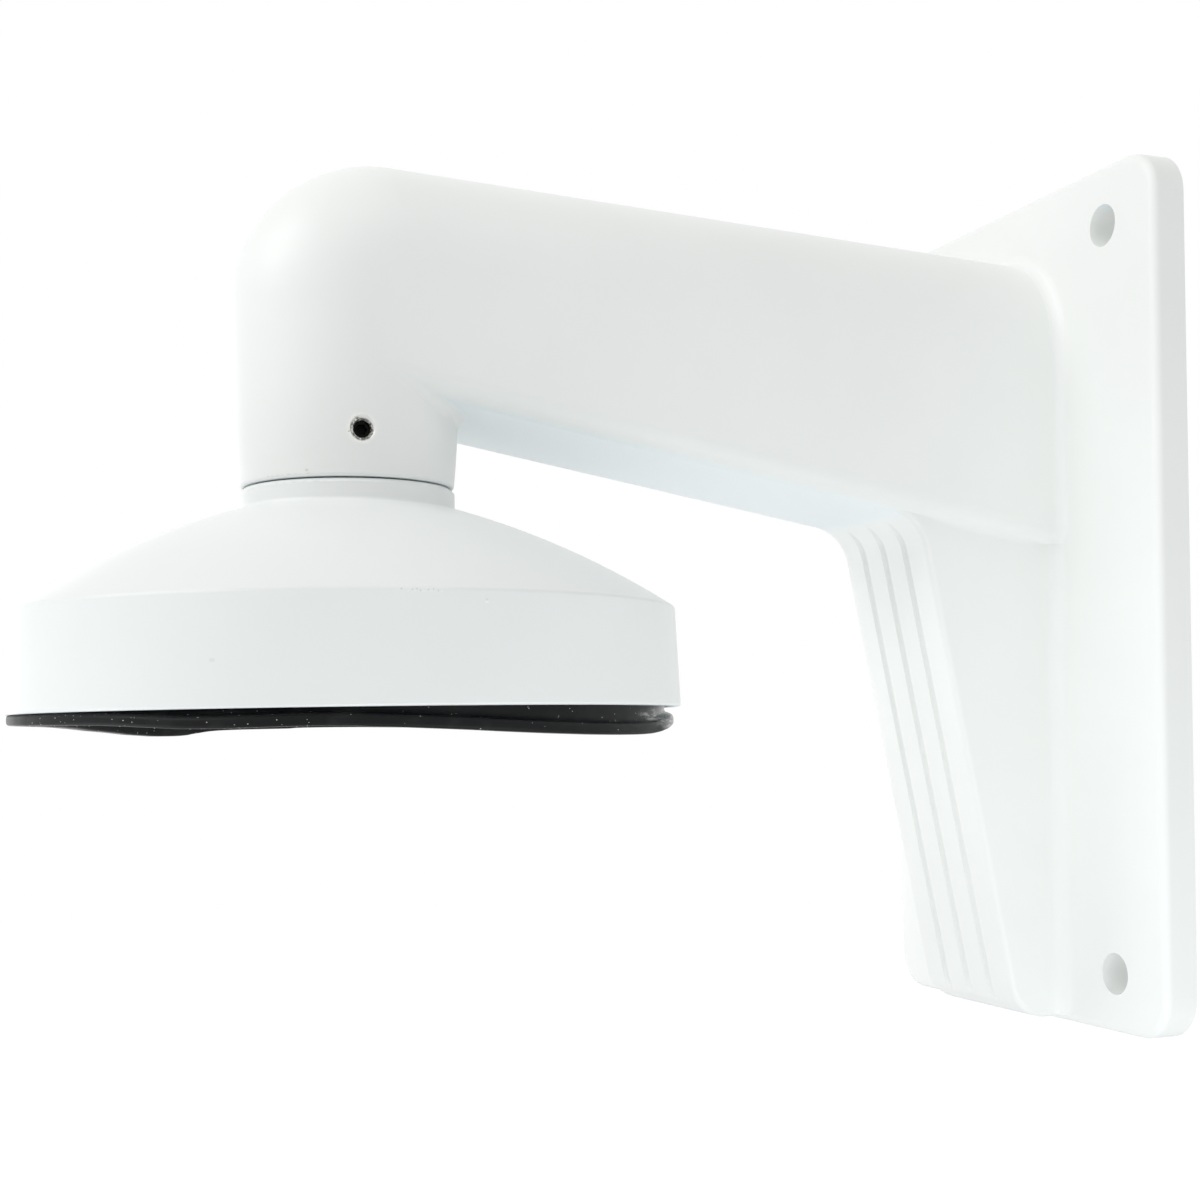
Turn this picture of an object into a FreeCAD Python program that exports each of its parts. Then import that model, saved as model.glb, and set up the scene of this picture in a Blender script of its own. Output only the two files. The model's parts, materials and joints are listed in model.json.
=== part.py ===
import FreeCAD, Part
import math
import os

import Sketcher
from FreeCAD import Vector

# A wall bracket for a dome camera. Its pieces are one hollow casting (wall plate, arm, elbow
# collar and gusset), a round cap that screws up into the collar and carries the camera, the
# rubber gasket inside the cap's rim, and the set screw that locks the cap's thread.
#
# The origin is the centre of the plate's back. The wall is the plane Y = 0, the arm reaches
# out along -Y, and +Z is up. Sizes are in millimetres. Heights are measured from the origin.

SIZES = {
    # Wall plate, cored from behind so that its walls stay thin
    "plate_width": 106.4,
    "plate_height": 182.0,
    "plate_depth": 7.8,
    "plate_skin": 4.0,
    "plate_rim": 5.0,
    "plate_corner": 9.0,
    "plate_edge_round": 1.8,
    "rib_width": 3.0,
    "rib_height": 32.0,
    # Wall bolts
    "bolt_across": 73.0,
    "bolt_upright": 157.0,
    "bolt_hole_radius": 4.4,
    "bolt_boss_radius": 8.5,
    # Arm: round on top, flat below, wider and higher at the elbow than at the wall
    "arm_reach": 160.7,
    "arm_half_width": 20.4,
    "arm_crown_centre": 56.9,
    "arm_underside": 10.8,
    "arm_edge_round": 4.5,
    "arm_root_round": 2.5,
    "tip_underside": 39.4,
    "casting_wall": 4.0,
    # Elbow and collar
    "elbow_radius": 21.8,
    "bend_height": 57.7,
    "bend_offset": 6.4,
    "collar_draft": 1.0,
    "collar_edge_round": 0.7,
    "seam_height": 22.4,
    "thread_clearance": 0.2,
    "thread_length": 18.0,
    # Gusset below the arm, with flutes down its sloping face
    "gusset_inset": 2.2,
    "gusset_head": 42.0,
    "gusset_foot": 19.8,
    "gusset_lift": 1.2,
    "gusset_head_round": 10.0,
    "gusset_foot_round": 9.0,
    "gusset_edge_round": 1.3,
    "gusset_flare": 3.5,
    "flute_radius": 1.15,
    "flute_pitch": 9.0,
    "flute_turn_radius": 7.6,
    "flute_turn_degrees": 80.0,
    "flute_turn_drop": 0.3,
    # Camera cap
    "seam_gap": 0.35,
    "neck_step": 0.15,
    "neck_height": 4.0,
    "neck_chamfer": 0.7,
    "dome_fall": 19.95,
    "dome_bow": 160.0,
    "dome_wall": 3.0,
    "crease_round": 0.8,
    "rim_radius": 65.0,
    "rim_draft": 0.9,
    "rim_depth": 19.4,
    "rim_wall": 2.8,
    "rim_round": 0.5,
    "spigot_radius": 16.8,
    "spigot_length": 15.5,
    "cable_bore": 13.0,
    "cable_flare": 4.5,
    "camera_screw_circle": 50.0,
    "camera_screw_radius": 1.65,
    "camera_screw_depth": 10.0,
    "camera_boss_radius": 4.5,
    "camera_boss_recess": 4.2,
    # Rubber gasket
    "gasket_wall": 1.6,
    "gasket_grip": 10.2,
    "gasket_hang": 5.4,
    "gasket_lip": 2.0,
    "gasket_lip_inset": 0.7,
    "gasket_clearance": 0.15,
    # Set screw, turned a little from the +X side toward the front
    "screw_rise": 8.7,
    "screw_turn_degrees": 5.0,
    "screw_hole_radius": 2.0,
    "screw_hole_chamfer": 0.5,
    "screw_clearance": 0.1,
    "screw_length": 3.9,
    "screw_bevel": 0.45,
    "screw_groove_depth": 0.9,
    "screw_groove_width": 5.2,
    "screw_tip_gap": 0.05,
    "screw_socket": 2.0,
    "screw_socket_depth": 1.8,
}

doc = FreeCAD.newDocument("camera_wall_bracket")
sheet = doc.addObject("Spreadsheet::Sheet", "sizes")


class Size:
    """A number, kept with the formula over the sheet that gives it."""

    def __init__(self, number, formula):
        self.number = float(number)
        self.formula = formula

    def __add__(self, other):
        other = size(other)
        return Size(self.number + other.number, f"({self.formula} + {other.formula})")

    def __sub__(self, other):
        other = size(other)
        return Size(self.number - other.number, f"({self.formula} - {other.formula})")

    def __mul__(self, other):
        other = size(other)
        return Size(self.number * other.number, f"({self.formula} * {other.formula})")

    def __truediv__(self, other):
        other = size(other)
        return Size(self.number / other.number, f"({self.formula} / {other.formula})")

    def __neg__(self):
        return Size(-self.number, f"(0 - {self.formula})")

    def __rsub__(self, other):
        return size(other) - self


class Found(Size):
    """A coordinate that the sketch works out itself, with a first guess."""

    def __init__(self, guess):
        super().__init__(number_of(guess), "")


def size(item):
    return item if isinstance(item, Size) else Size(item, repr(float(item)))


def number_of(item):
    return size(item).number


def sine(angle):
    return Size(math.sin(math.radians(angle.number)), f"sin({angle.formula})")


def cosine(angle):
    return Size(math.cos(math.radians(angle.number)), f"cos({angle.formula})")


def tangent(angle):
    return Size(math.tan(math.radians(angle.number)), f"tan({angle.formula})")


def slope_angle(rise, run):
    ratio = rise / run
    return Size(math.degrees(math.atan(ratio.number)), f"(atan({ratio.formula}) / 1deg)")


def bind(thing, field, item):
    """Tie one field of an object to the sheet."""
    thing.setExpression(field, size(item).formula)


def sketch_on(body, role, name, across=0, up=0, out=0):
    """A sketch on one of the body's own origin planes, its zero point shifted in that plane."""
    sketch = body.newObject("Sketcher::SketchObject", name)
    plane = next(item for item in body.Origin.OriginFeatures if item.Role == role)
    sketch.AttachmentSupport = [(plane, "")]
    sketch.MapMode = "FlatFace"
    for axis, shift in (("x", across), ("y", up), ("z", out)):
        bind(sketch, "AttachmentOffset.Base." + axis, shift)
    return sketch


def dimension(sketch, kind, *where):
    """Add a dimension to a sketch and tie it to the sheet."""
    *place, item = where
    if isinstance(item, Found):
        return
    index = sketch.addConstraint(Sketcher.Constraint(kind, *place, item.number))
    bind(sketch, f"Constraints[{index}]", item)


def arc_between(start, end, radius, turn):
    """The arc from start to end; turn is 1 for anticlockwise and -1 for clockwise."""
    middle = (start + end) * 0.5
    half = (end - start) * 0.5
    height = math.sqrt(max(radius * radius - half.Length * half.Length, 0.0))
    side = Vector(-half.y, half.x, 0).normalize() * turn
    centre = middle + side * height
    first, last = (start, end) if turn > 0 else (end, start)
    angles = [math.atan2(point.y - centre.y, point.x - centre.x) for point in (first, last)]
    return Part.ArcOfCircle(Part.Circle(centre, Vector(0, 0, 1), radius), *angles)


def outline(sketch, start, *legs, closed=True):
    """Draw a wire. A leg is (x, y) for a straight, or (x, y, radius, turn) for an arc."""
    corners = [tuple(size(value) for value in corner[:2]) for corner in (start, *legs)]
    edges = []
    for here, there, leg in zip(corners, corners[1:], legs):
        points = [Vector(corner[0].number, corner[1].number, 0) for corner in (here, there)]
        if len(leg) == 2:
            edges.append((sketch.addGeometry(Part.LineSegment(*points)), 1, 2))
            continue
        radius, turn = size(leg[2]), leg[3]
        index = sketch.addGeometry(arc_between(*points, radius.number, turn))
        edges.append((index, 1, 2) if turn > 0 else (index, 2, 1))
        dimension(sketch, "Radius", index, radius)
    for edge, following in zip(edges, edges[1:] + edges[:1] if closed else edges[1:]):
        meeting = Sketcher.Constraint("Coincident", edge[0], edge[2], following[0], following[1])
        sketch.addConstraint(meeting)
    for edge, corner in zip(edges, corners):
        dimension(sketch, "DistanceX", edge[0], edge[1], corner[0])
        dimension(sketch, "DistanceY", edge[0], edge[1], corner[1])
    if not closed:
        dimension(sketch, "DistanceX", edges[-1][0], edges[-1][2], corners[-1][0])
        dimension(sketch, "DistanceY", edges[-1][0], edges[-1][2], corners[-1][1])
    return [edge[0] for edge in edges]


def circle(sketch, across, up, radius):
    across, up, radius = size(across), size(up), size(radius)
    centre = Vector(across.number, up.number, 0)
    index = sketch.addGeometry(Part.Circle(centre, Vector(0, 0, 1), radius.number))
    dimension(sketch, "DistanceX", index, 3, across)
    dimension(sketch, "DistanceY", index, 3, up)
    dimension(sketch, "Radius", index, radius)


def rounded_box(sketch, half_width, half_height, radius):
    """A rectangle with round corners about the sketch's zero point."""
    inner_x = half_width - radius
    inner_y = half_height - radius
    outline(
        sketch,
        (-inner_x, -half_height),
        (inner_x, -half_height),
        (half_width, -inner_y, radius, 1),
        (half_width, inner_y),
        (inner_x, half_height, radius, 1),
        (-inner_x, half_height),
        (-half_width, inner_y, radius, 1),
        (-half_width, -inner_y),
        (-inner_x, -half_height, radius, 1),
    )


def feature(body, kind, name, profile, sign, **fields):
    """Add a feature, and check that it added (sign 1) or took away (sign -1) material."""
    before = body.Shape.Volume if body.Tip else 0.0
    item = body.newObject("PartDesign::" + kind, name)
    item.Profile = profile
    for field, value in fields.items():
        if isinstance(value, (Size, float)):
            bind(item, field, value)
        else:
            setattr(item, field, value)
    body.Tip = item
    doc.recompute()
    if (body.Shape.Volume - before) * sign <= 0:
        raise RuntimeError(f"{body.Label}: {name} changed nothing")
    return item


def soften(body, name, radius, chosen):
    """Round the edges that the test chooses."""
    last = body.Tip
    names = [f"Edge{number}" for number, edge in enumerate(last.Shape.Edges, 1) if chosen(edge)]
    if not names:
        raise RuntimeError(f"{body.Label}: {name} found no edge")
    item = body.newObject("PartDesign::Fillet", name)
    item.Base = (last, names)
    bind(item, "Radius", radius)
    body.Tip = item
    doc.recompute()
    return item


def middle_of(edge):
    """A point half way along an edge."""
    return edge.valueAt((edge.FirstParameter + edge.LastParameter) / 2)


def close(value, target, slack=0.01):
    return abs(value - number_of(target)) < slack


def new_body(name):
    body = doc.addObject("PartDesign::Body", name)
    body.Label = name
    return body


for row, (alias, value) in enumerate(SIZES.items(), 1):
    sheet.set(f"A{row}", alias.replace("_", " "))
    sheet.set(f"B{row}", str(value))
    sheet.setAlias(f"B{row}", alias)
doc.recompute()


class Names:
    """Each driving size by its own name."""


s = Names()
for alias, value in SIZES.items():
    setattr(s, alias, Size(value, "sizes." + alias))

# Places that more than one piece shares
bend_out = s.arm_reach - s.bend_offset
recess_depth = s.plate_depth - s.plate_skin
underside_rise = (s.tip_underside - s.arm_underside) / bend_out
foot_height = s.gusset_lift - s.plate_height / 2
gusset_half_width = s.arm_half_width - s.gusset_inset
cavity_radius = s.elbow_radius - s.casting_wall
collar_radius = s.elbow_radius - s.collar_draft
thread_radius = s.spigot_radius + s.thread_clearance
screw_height = s.seam_height + s.screw_rise
screw_radius = s.screw_hole_radius - s.screw_clearance
shoulder_height = s.seam_height - s.seam_gap
neck_foot = shoulder_height - s.neck_height
neck_radius = collar_radius + s.neck_step
crease_height = neck_foot - s.dome_fall
crease_radius = s.rim_radius - s.rim_draft
rim_height = crease_height - s.rim_depth
ledge_height = rim_height + s.gasket_grip
groove_radius = s.spigot_radius - s.screw_groove_depth
rim_inner_radius = s.rim_radius - s.rim_wall
gasket_outer = rim_inner_radius - s.gasket_clearance


def underside_at(out):
    """Height of the arm's flat underside at a distance from the wall."""
    return s.arm_underside + underside_rise * out


def arm_section(body, name, out, half_width, crown_centre, bottom, edge_round):
    """The arm's outline at a distance from the wall: flat below, half round on top."""
    sketch = sketch_on(body, "XZ_Plane", name, out=out)
    outline(
        sketch,
        (edge_round - half_width, bottom),
        (half_width - edge_round, bottom),
        (half_width, bottom + edge_round, edge_round, 1),
        (half_width, crown_centre),
        (0, crown_centre + half_width, half_width, 1),
        (-half_width, crown_centre, half_width, 1),
        (-half_width, bottom + edge_round),
        (edge_round - half_width, bottom, edge_round, 1),
    )
    return sketch


def elbow_section(body, name, radius):
    """The elbow's outline in the level plane of its bend: a half circle with short cheeks."""
    sketch = sketch_on(body, "XY_Plane", name, up=-bend_out, out=s.bend_height)
    outline(
        sketch,
        (radius, 0),
        (-radius, 0),
        (-radius, -s.bend_offset),
        (0, -s.bend_offset - radius, radius, 1),
        (radius, -s.bend_offset, radius, 1),
        (radius, 0),
    )
    return sketch


def draft_radius():
    """Radius of the arc that draws the collar in, upright where it leaves the elbow."""
    rise = s.tip_underside - s.seam_height
    return (rise * rise + s.collar_draft * s.collar_draft) / (s.collar_draft * 2.0)


def add_plate(body):
    """The wall plate, with its recess, bolt bosses, spine and cross ribs behind."""
    face = sketch_on(body, "XZ_Plane", "plate_face")
    rounded_box(face, s.plate_width / 2, s.plate_height / 2, s.plate_corner)
    feature(body, "Pad", "plate", face, 1, Length=s.plate_depth)
    soften(body, "plate_edges", s.plate_edge_round,
           lambda edge: close(edge.BoundBox.YMin, -s.plate_depth) and edge.BoundBox.YLength < 0.01)

    recess = sketch_on(body, "XZ_Plane", "recess_shape")
    rounded_box(recess, s.plate_width / 2 - s.plate_rim, s.plate_height / 2 - s.plate_rim,
                s.plate_corner - s.plate_rim / 2)
    feature(body, "Pocket", "recess", recess, -1, Length=recess_depth, Reversed=True)

    bosses = sketch_on(body, "XZ_Plane", "boss_circles")
    for across in (-s.bolt_across / 2, s.bolt_across / 2):
        for up in (-s.bolt_upright / 2, s.bolt_upright / 2):
            circle(bosses, across, up, s.bolt_boss_radius)
    feature(body, "Pad", "bolt_bosses", bosses, 1, Length=recess_depth)

    spine = sketch_on(body, "XZ_Plane", "spine_shape")
    half = s.arm_half_width + s.arm_root_round
    low = s.plate_rim / 2 - s.plate_height / 2
    outline(
        spine,
        (-half, low),
        (half, low),
        (half, s.arm_crown_centre),
        (0, s.arm_crown_centre + half, half, 1),
        (-half, s.arm_crown_centre, half, 1),
        (-half, low),
    )
    feature(body, "Pad", "spine", spine, 1, Length=recess_depth)

    ribs = sketch_on(body, "XZ_Plane", "rib_shapes")
    reach = (s.plate_width - s.plate_rim) / 2
    for level in (-s.rib_height, s.rib_height):
        low = level - s.rib_width / 2
        high = level + s.rib_width / 2
        outline(ribs, (-reach, low), (reach, low), (reach, high), (-reach, high), (-reach, low))
    feature(body, "Pad", "cross_ribs", ribs, 1, Length=recess_depth)


def add_arm(body):
    """The arm, the elbow that turns down from it, and the collar below."""
    root = arm_section(body, "arm_at_wall", 0, s.arm_half_width, s.arm_crown_centre,
                       s.arm_underside, s.arm_edge_round)
    tip = arm_section(body, "arm_at_elbow", bend_out, s.elbow_radius,
                      s.bend_height + s.bend_offset, s.tip_underside, s.arm_edge_round)
    feature(body, "AdditiveLoft", "arm", root, 1, Sections=[tip], Ruled=True)
    soften(body, "arm_root", s.arm_root_round,
           lambda edge: close(edge.BoundBox.YMin, -s.plate_depth)
           and edge.BoundBox.YLength < 0.01
           and abs(middle_of(edge).x) < number_of(s.elbow_radius))

    elbow = elbow_section(body, "elbow_plan", s.elbow_radius)
    feature(body, "Revolution", "elbow", elbow, 1, ReferenceAxis=(elbow, ["H_Axis"]),
            Angle=90.0, Reversed=True)

    cheeks = sketch_on(body, "XZ_Plane", "cheek_section", out=bend_out)
    flat = s.elbow_radius - s.arm_edge_round
    outline(
        cheeks,
        (-flat, s.tip_underside),
        (flat, s.tip_underside),
        (s.elbow_radius, s.tip_underside + s.arm_edge_round, s.arm_edge_round, 1),
        (s.elbow_radius, s.bend_height),
        (-s.elbow_radius, s.bend_height),
        (-s.elbow_radius, s.tip_underside + s.arm_edge_round),
        (-flat, s.tip_underside, s.arm_edge_round, 1),
    )
    feature(body, "Pad", "cheeks", cheeks, 1, Length=s.bend_offset)

    collar = sketch_on(body, "YZ_Plane", "collar_profile", across=-s.arm_reach)
    outline(collar, (0, s.seam_height), (collar_radius, s.seam_height),
            (s.elbow_radius, s.tip_underside, draft_radius(), 1),
            (s.elbow_radius, s.bend_height), (0, s.bend_height), (0, s.seam_height))
    feature(body, "Revolution", "collar", collar, 1, ReferenceAxis=(collar, ["V_Axis"]),
            Angle=360.0)
    soften(body, "collar_edge", s.collar_edge_round,
           lambda edge: close(middle_of(edge).z, s.seam_height) and edge.BoundBox.ZLength < 0.01)


def make_gusset():
    """The gusset below the arm, with three flutes that run out at its head and foot."""
    body = new_body("gusset")
    head = underside_at(s.gusset_head)
    blend = s.gusset_head + s.gusset_head_round * 2
    embed = s.casting_wall / 2
    inside = s.plate_skin / 2

    side = sketch_on(body, "YZ_Plane", "gusset_side")
    outline(
        side,
        (-inside, foot_height),
        (-inside, underside_at(inside) + embed),
        (-blend, underside_at(blend) + embed),
        (-blend, underside_at(blend)),
        (-s.gusset_head, head),
        (-s.gusset_foot, foot_height),
        (-inside, foot_height),
    )
    full_width = (gusset_half_width + s.gusset_flare) * 2
    feature(body, "Pad", "gusset_block", side, 1, Length=full_width, Midplane=True)
    soften(body, "head_blend", s.gusset_head_round,
           lambda edge: close(middle_of(edge).y, -s.gusset_head) and close(middle_of(edge).z, head))
    soften(body, "foot_round", s.gusset_foot_round,
           lambda edge: close(middle_of(edge).y, -s.gusset_foot)
           and close(middle_of(edge).z, foot_height))

    trim = sketch_on(body, "XY_Plane", "gusset_trim", out=s.bend_height)
    root = -s.plate_depth
    far = -blend - s.gusset_flare
    near_x = gusset_half_width
    flare_x = near_x + s.gusset_flare
    beyond = flare_x + s.gusset_flare
    outline(trim, (near_x, far), (beyond, far), (beyond, root), (flare_x, root),
            (near_x, root - s.gusset_flare, s.gusset_flare, 1), (near_x, far))
    outline(trim, (-near_x, far), (-beyond, far), (-beyond, root), (-flare_x, root),
            (-near_x, root - s.gusset_flare, s.gusset_flare, -1), (-near_x, far))
    feature(body, "Pocket", "gusset_sides", trim, -1, Type="ThroughAll")
    front_middle = (s.gusset_head + s.gusset_foot) / 2
    front_slack = number_of(s.gusset_head - s.gusset_foot) / 4
    long_edge = number_of(head - foot_height) / 2
    soften(body, "gusset_edges", s.gusset_edge_round,
           lambda edge: close(abs(middle_of(edge).x), gusset_half_width)
           and close(middle_of(edge).y, -front_middle, front_slack)
           and edge.BoundBox.ZLength > long_edge)
    cut_flutes(body, head)
    return body


def cut_flutes(body, head):
    """Sweep one round flute down the sloping face, and repeat it across."""
    lean = slope_angle(s.gusset_head - s.gusset_foot, head - foot_height)
    rise = slope_angle(s.tip_underside - s.arm_underside, bend_out)
    corner = lean + rise
    blend_drop = s.gusset_head_round * cosine(corner) / (sine(corner) + 1.0)
    drop = blend_drop + s.flute_turn_drop
    bend_y = drop * sine(lean) - s.gusset_head
    bend_z = head - drop * cosine(lean)
    start_z = foot_height - s.gusset_foot_round
    start_y = -s.gusset_foot + (foot_height - start_z) * tangent(lean)
    centre_y = bend_y - s.flute_turn_radius * cosine(lean)
    centre_z = bend_z - s.flute_turn_radius * sine(lean)
    end_angle = lean + s.flute_turn_degrees

    path = sketch_on(body, "YZ_Plane", "flute_path", out=-s.flute_pitch)
    outline(
        path,
        (start_y, start_z),
        (bend_y, bend_z),
        (centre_y + s.flute_turn_radius * cosine(end_angle),
         centre_z + s.flute_turn_radius * sine(end_angle), s.flute_turn_radius, 1),
        closed=False,
    )
    section = sketch_on(body, "XY_Plane", "flute_section", out=start_z)
    circle(section, -s.flute_pitch, start_y, s.flute_radius)
    flute = feature(body, "SubtractivePipe", "flute", section, -1, Spine=(path, ["Edge1", "Edge2"]))

    flutes = body.newObject("PartDesign::LinearPattern", "flutes")
    flutes.Originals = [flute]
    flutes.Direction = (path, ["N_Axis"])
    flutes.Occurrences = 3
    bind(flutes, "Length", s.flute_pitch * 2.0)
    one = body.Shape.Volume
    body.Tip = flutes
    doc.recompute()
    if body.Shape.Volume >= one:
        raise RuntimeError("the flutes were not repeated")


def hollow_out(body):
    """The cable way through plate, arm, elbow and collar, and the core of the gusset."""
    wall = s.casting_wall
    floor_round = s.arm_edge_round
    root = arm_section(body, "way_at_wall", 0, s.arm_half_width - wall, s.arm_crown_centre,
                       s.arm_underside + wall, floor_round)
    tip = arm_section(body, "way_at_elbow", bend_out, cavity_radius,
                      s.bend_height + s.bend_offset, s.tip_underside + wall, floor_round)
    feature(body, "SubtractiveLoft", "arm_way", root, -1, Sections=[tip], Ruled=True)

    elbow = elbow_section(body, "way_plan", cavity_radius)
    feature(body, "Groove", "elbow_way", elbow, -1, ReferenceAxis=(elbow, ["H_Axis"]),
            Angle=90.0, Reversed=True)
    down = elbow_section(body, "way_down_plan", cavity_radius)
    feature(body, "Pocket", "way_down", down, -1,
            Length=s.bend_height - s.tip_underside - wall)

    bore = sketch_on(body, "YZ_Plane", "bore_profile", across=-s.arm_reach)
    thread_top = s.seam_height + s.thread_length
    outline(bore, (0, s.seam_height), (thread_radius, s.seam_height),
            (thread_radius, thread_top), (cavity_radius, thread_top),
            (cavity_radius, s.bend_height), (0, s.bend_height), (0, s.seam_height))
    feature(body, "Groove", "collar_bore", bore, -1, ReferenceAxis=(bore, ["V_Axis"]), Angle=360.0)

    core = sketch_on(body, "YZ_Plane", "gusset_core_side")
    core_head = s.gusset_head - wall
    outline(core, (0, foot_height + wall), (0, s.arm_underside),
            (-core_head, underside_at(core_head)), (wall - s.gusset_foot, foot_height + wall),
            (0, foot_height + wall))
    feature(body, "Pocket", "gusset_core", core, -1, Length=(gusset_half_width - wall) * 2.0,
            Midplane=True)


def drill(body):
    """The four wall bolt holes, and the tapped hole for the set screw."""
    bolts = sketch_on(body, "XZ_Plane", "bolt_circles")
    for across in (-s.bolt_across / 2, s.bolt_across / 2):
        for up in (-s.bolt_upright / 2, s.bolt_upright / 2):
            circle(bolts, across, up, s.bolt_hole_radius)
    feature(body, "Pocket", "bolt_holes", bolts, -1, Type="ThroughAll", Reversed=True)

    hole = sketch_on(body, "XY_Plane", "screw_hole_profile", up=-s.arm_reach, out=screw_height)
    bind(hole, "AttachmentOffset.Rotation.Angle", -s.screw_turn_degrees)
    drop = s.tip_underside - screw_height
    skin = s.elbow_radius - drop * drop / (draft_radius() * 2.0)
    mouth = s.screw_hole_radius + s.screw_hole_chamfer
    outline(hole, (thread_radius / 2, 0), (skin + mouth, 0), (skin + mouth, mouth * 2.0),
            (skin, mouth), (skin - s.screw_hole_chamfer, s.screw_hole_radius),
            (thread_radius / 2, s.screw_hole_radius), (thread_radius / 2, 0))
    feature(body, "Groove", "screw_hole", hole, -1, ReferenceAxis=(hole, ["H_Axis"]), Angle=360.0)


def make_bracket():
    body = new_body("wall_bracket")
    add_plate(body)
    add_arm(body)
    joined = body.newObject("PartDesign::Boolean", "with_gusset")
    joined.Type = "Fuse"
    joined.setObjects([make_gusset()])
    body.Tip = joined
    doc.recompute()
    hollow_out(body)
    drill(body)
    return body


def make_cap():
    """The cap: threaded spigot, short neck, bowed dome, rim, and bosses for the camera."""
    body = new_body("camera_cap")
    profile = sketch_on(body, "YZ_Plane", "cap_profile", across=-s.arm_reach)
    ledge_radius = rim_inner_radius - s.gasket_wall - s.gasket_clearance * 2.0
    groove_low = screw_height - s.screw_groove_width / 2
    groove_high = screw_height + s.screw_groove_width / 2
    spigot_top = shoulder_height + s.spigot_length
    edges = outline(
        profile,
        (s.cable_bore, spigot_top),
        (s.cable_bore, neck_foot),
        (s.cable_bore + s.cable_flare, Found(neck_foot - s.dome_wall)),
        (ledge_radius, Found(crease_height - s.dome_wall), s.dome_bow - s.dome_wall, -1),
        (ledge_radius, ledge_height),
        (rim_inner_radius, ledge_height),
        (rim_inner_radius, rim_height),
        (s.rim_radius, rim_height),
        (crease_radius, crease_height),
        (neck_radius, neck_foot, s.dome_bow, 1),
        (neck_radius, shoulder_height - s.neck_chamfer),
        (neck_radius - s.neck_chamfer, shoulder_height),
        (s.spigot_radius, shoulder_height),
        (s.spigot_radius, groove_low),
        (groove_radius, groove_low),
        (groove_radius, groove_high),
        (s.spigot_radius, groove_high),
        (s.spigot_radius, spigot_top),
        (s.cable_bore, spigot_top),
    )
    ceiling, dome = edges[2], edges[8]
    profile.addConstraint(Sketcher.Constraint("Coincident", ceiling, 3, dome, 3))
    feature(body, "Revolution", "cap_shell", profile, 1, ReferenceAxis=(profile, ["V_Axis"]),
            Angle=360.0)

    for name, radius, place in (
        ("neck_blend", s.neck_chamfer, (neck_radius, neck_foot)),
        ("crease", s.crease_round, (crease_radius, crease_height)),
        ("rim_edge", s.rim_round, (s.rim_radius, rim_height)),
    ):
        soften(body, name, radius,
               lambda edge: close(edge.BoundBox.XMax, place[0]) and close(middle_of(edge).z, place[1]))

    face_height = rim_height + s.camera_boss_recess
    boss = sketch_on(body, "XY_Plane", "boss_circle", up=-s.arm_reach, out=face_height)
    circle(boss, 0, s.camera_screw_circle, s.camera_boss_radius)
    boss_pad = feature(body, "Pad", "camera_boss", boss, 1, Type="UpToFirst")
    hole = sketch_on(body, "XY_Plane", "camera_screw", up=-s.arm_reach, out=face_height)
    circle(hole, 0, s.camera_screw_circle, s.camera_screw_radius)
    hole_cut = feature(body, "Pocket", "camera_screw_hole", hole, -1,
                       Length=s.camera_screw_depth, Reversed=True)
    before = body.Shape.Volume
    ring = body.newObject("PartDesign::PolarPattern", "camera_bosses")
    ring.Originals = [boss_pad, hole_cut]
    ring.Axis = (boss, ["N_Axis"])
    ring.Angle = 360.0
    ring.Occurrences = 3
    body.Tip = ring
    doc.recompute()
    if body.Shape.Volume <= before:
        raise RuntimeError("the camera bosses were not repeated")
    return body


def make_gasket():
    """The rubber gasket: a wall that grips inside the rim, and a lip that turns out below it."""
    body = new_body("rim_gasket")
    profile = sketch_on(body, "YZ_Plane", "gasket_profile", across=-s.arm_reach)
    inner = gasket_outer - s.gasket_wall
    low = rim_height - s.gasket_hang
    lip_radius = s.rim_radius - s.gasket_lip_inset
    half = s.gasket_lip / 2
    outline(
        profile,
        (inner, low),
        (lip_radius - half, low),
        (lip_radius, low + half, half, 1),
        (lip_radius - half, low + s.gasket_lip, half, 1),
        (gasket_outer, low + s.gasket_lip),
        (gasket_outer, ledge_height),
        (inner, ledge_height),
        (inner, low),
    )
    feature(body, "Revolution", "gasket_ring", profile, 1, ReferenceAxis=(profile, ["V_Axis"]),
            Angle=360.0)
    return body


def make_screw():
    """The set screw: a headless screw with a hexagon socket, its tip in the spigot's groove."""
    body = new_body("set_screw")
    bind(body, "Placement.Base.y", -s.arm_reach)
    bind(body, "Placement.Base.z", screw_height)
    bind(body, "Placement.Rotation.Angle", -s.screw_turn_degrees)
    profile = sketch_on(body, "XY_Plane", "screw_profile")
    tip = groove_radius + s.screw_tip_gap
    outer = tip + s.screw_length
    bevel = s.screw_bevel
    outline(profile, (tip, 0), (outer, 0), (outer, screw_radius - bevel),
            (outer - bevel, screw_radius), (tip + bevel, screw_radius),
            (tip, screw_radius - bevel), (tip, 0))
    feature(body, "Revolution", "screw_body", profile, 1, ReferenceAxis=(profile, ["H_Axis"]),
            Angle=360.0)
    socket = sketch_on(body, "YZ_Plane", "socket_hexagon", out=outer)
    corner = s.screw_socket / math.sqrt(3)
    turns = [math.radians(60 * step) for step in range(6)]
    corners = [(corner * math.cos(turn), corner * math.sin(turn)) for turn in turns]
    outline(socket, *corners, corners[0])
    feature(body, "Pocket", "socket", socket, -1, Length=s.screw_socket_depth)
    return body


pieces = [make_bracket(), make_cap(), make_gasket(), make_screw()]
doc.recompute()

for item in doc.Objects:
    if "Invalid" in item.State or "Error" in item.State:
        raise RuntimeError(f"{item.Label} failed: {item.State}")
for piece in pieces:
    shape = piece.Shape
    if shape.isNull() or not shape.isValid() or len(shape.Solids) != 1:
        raise RuntimeError(f"{piece.Label} is not one valid solid")

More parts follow.
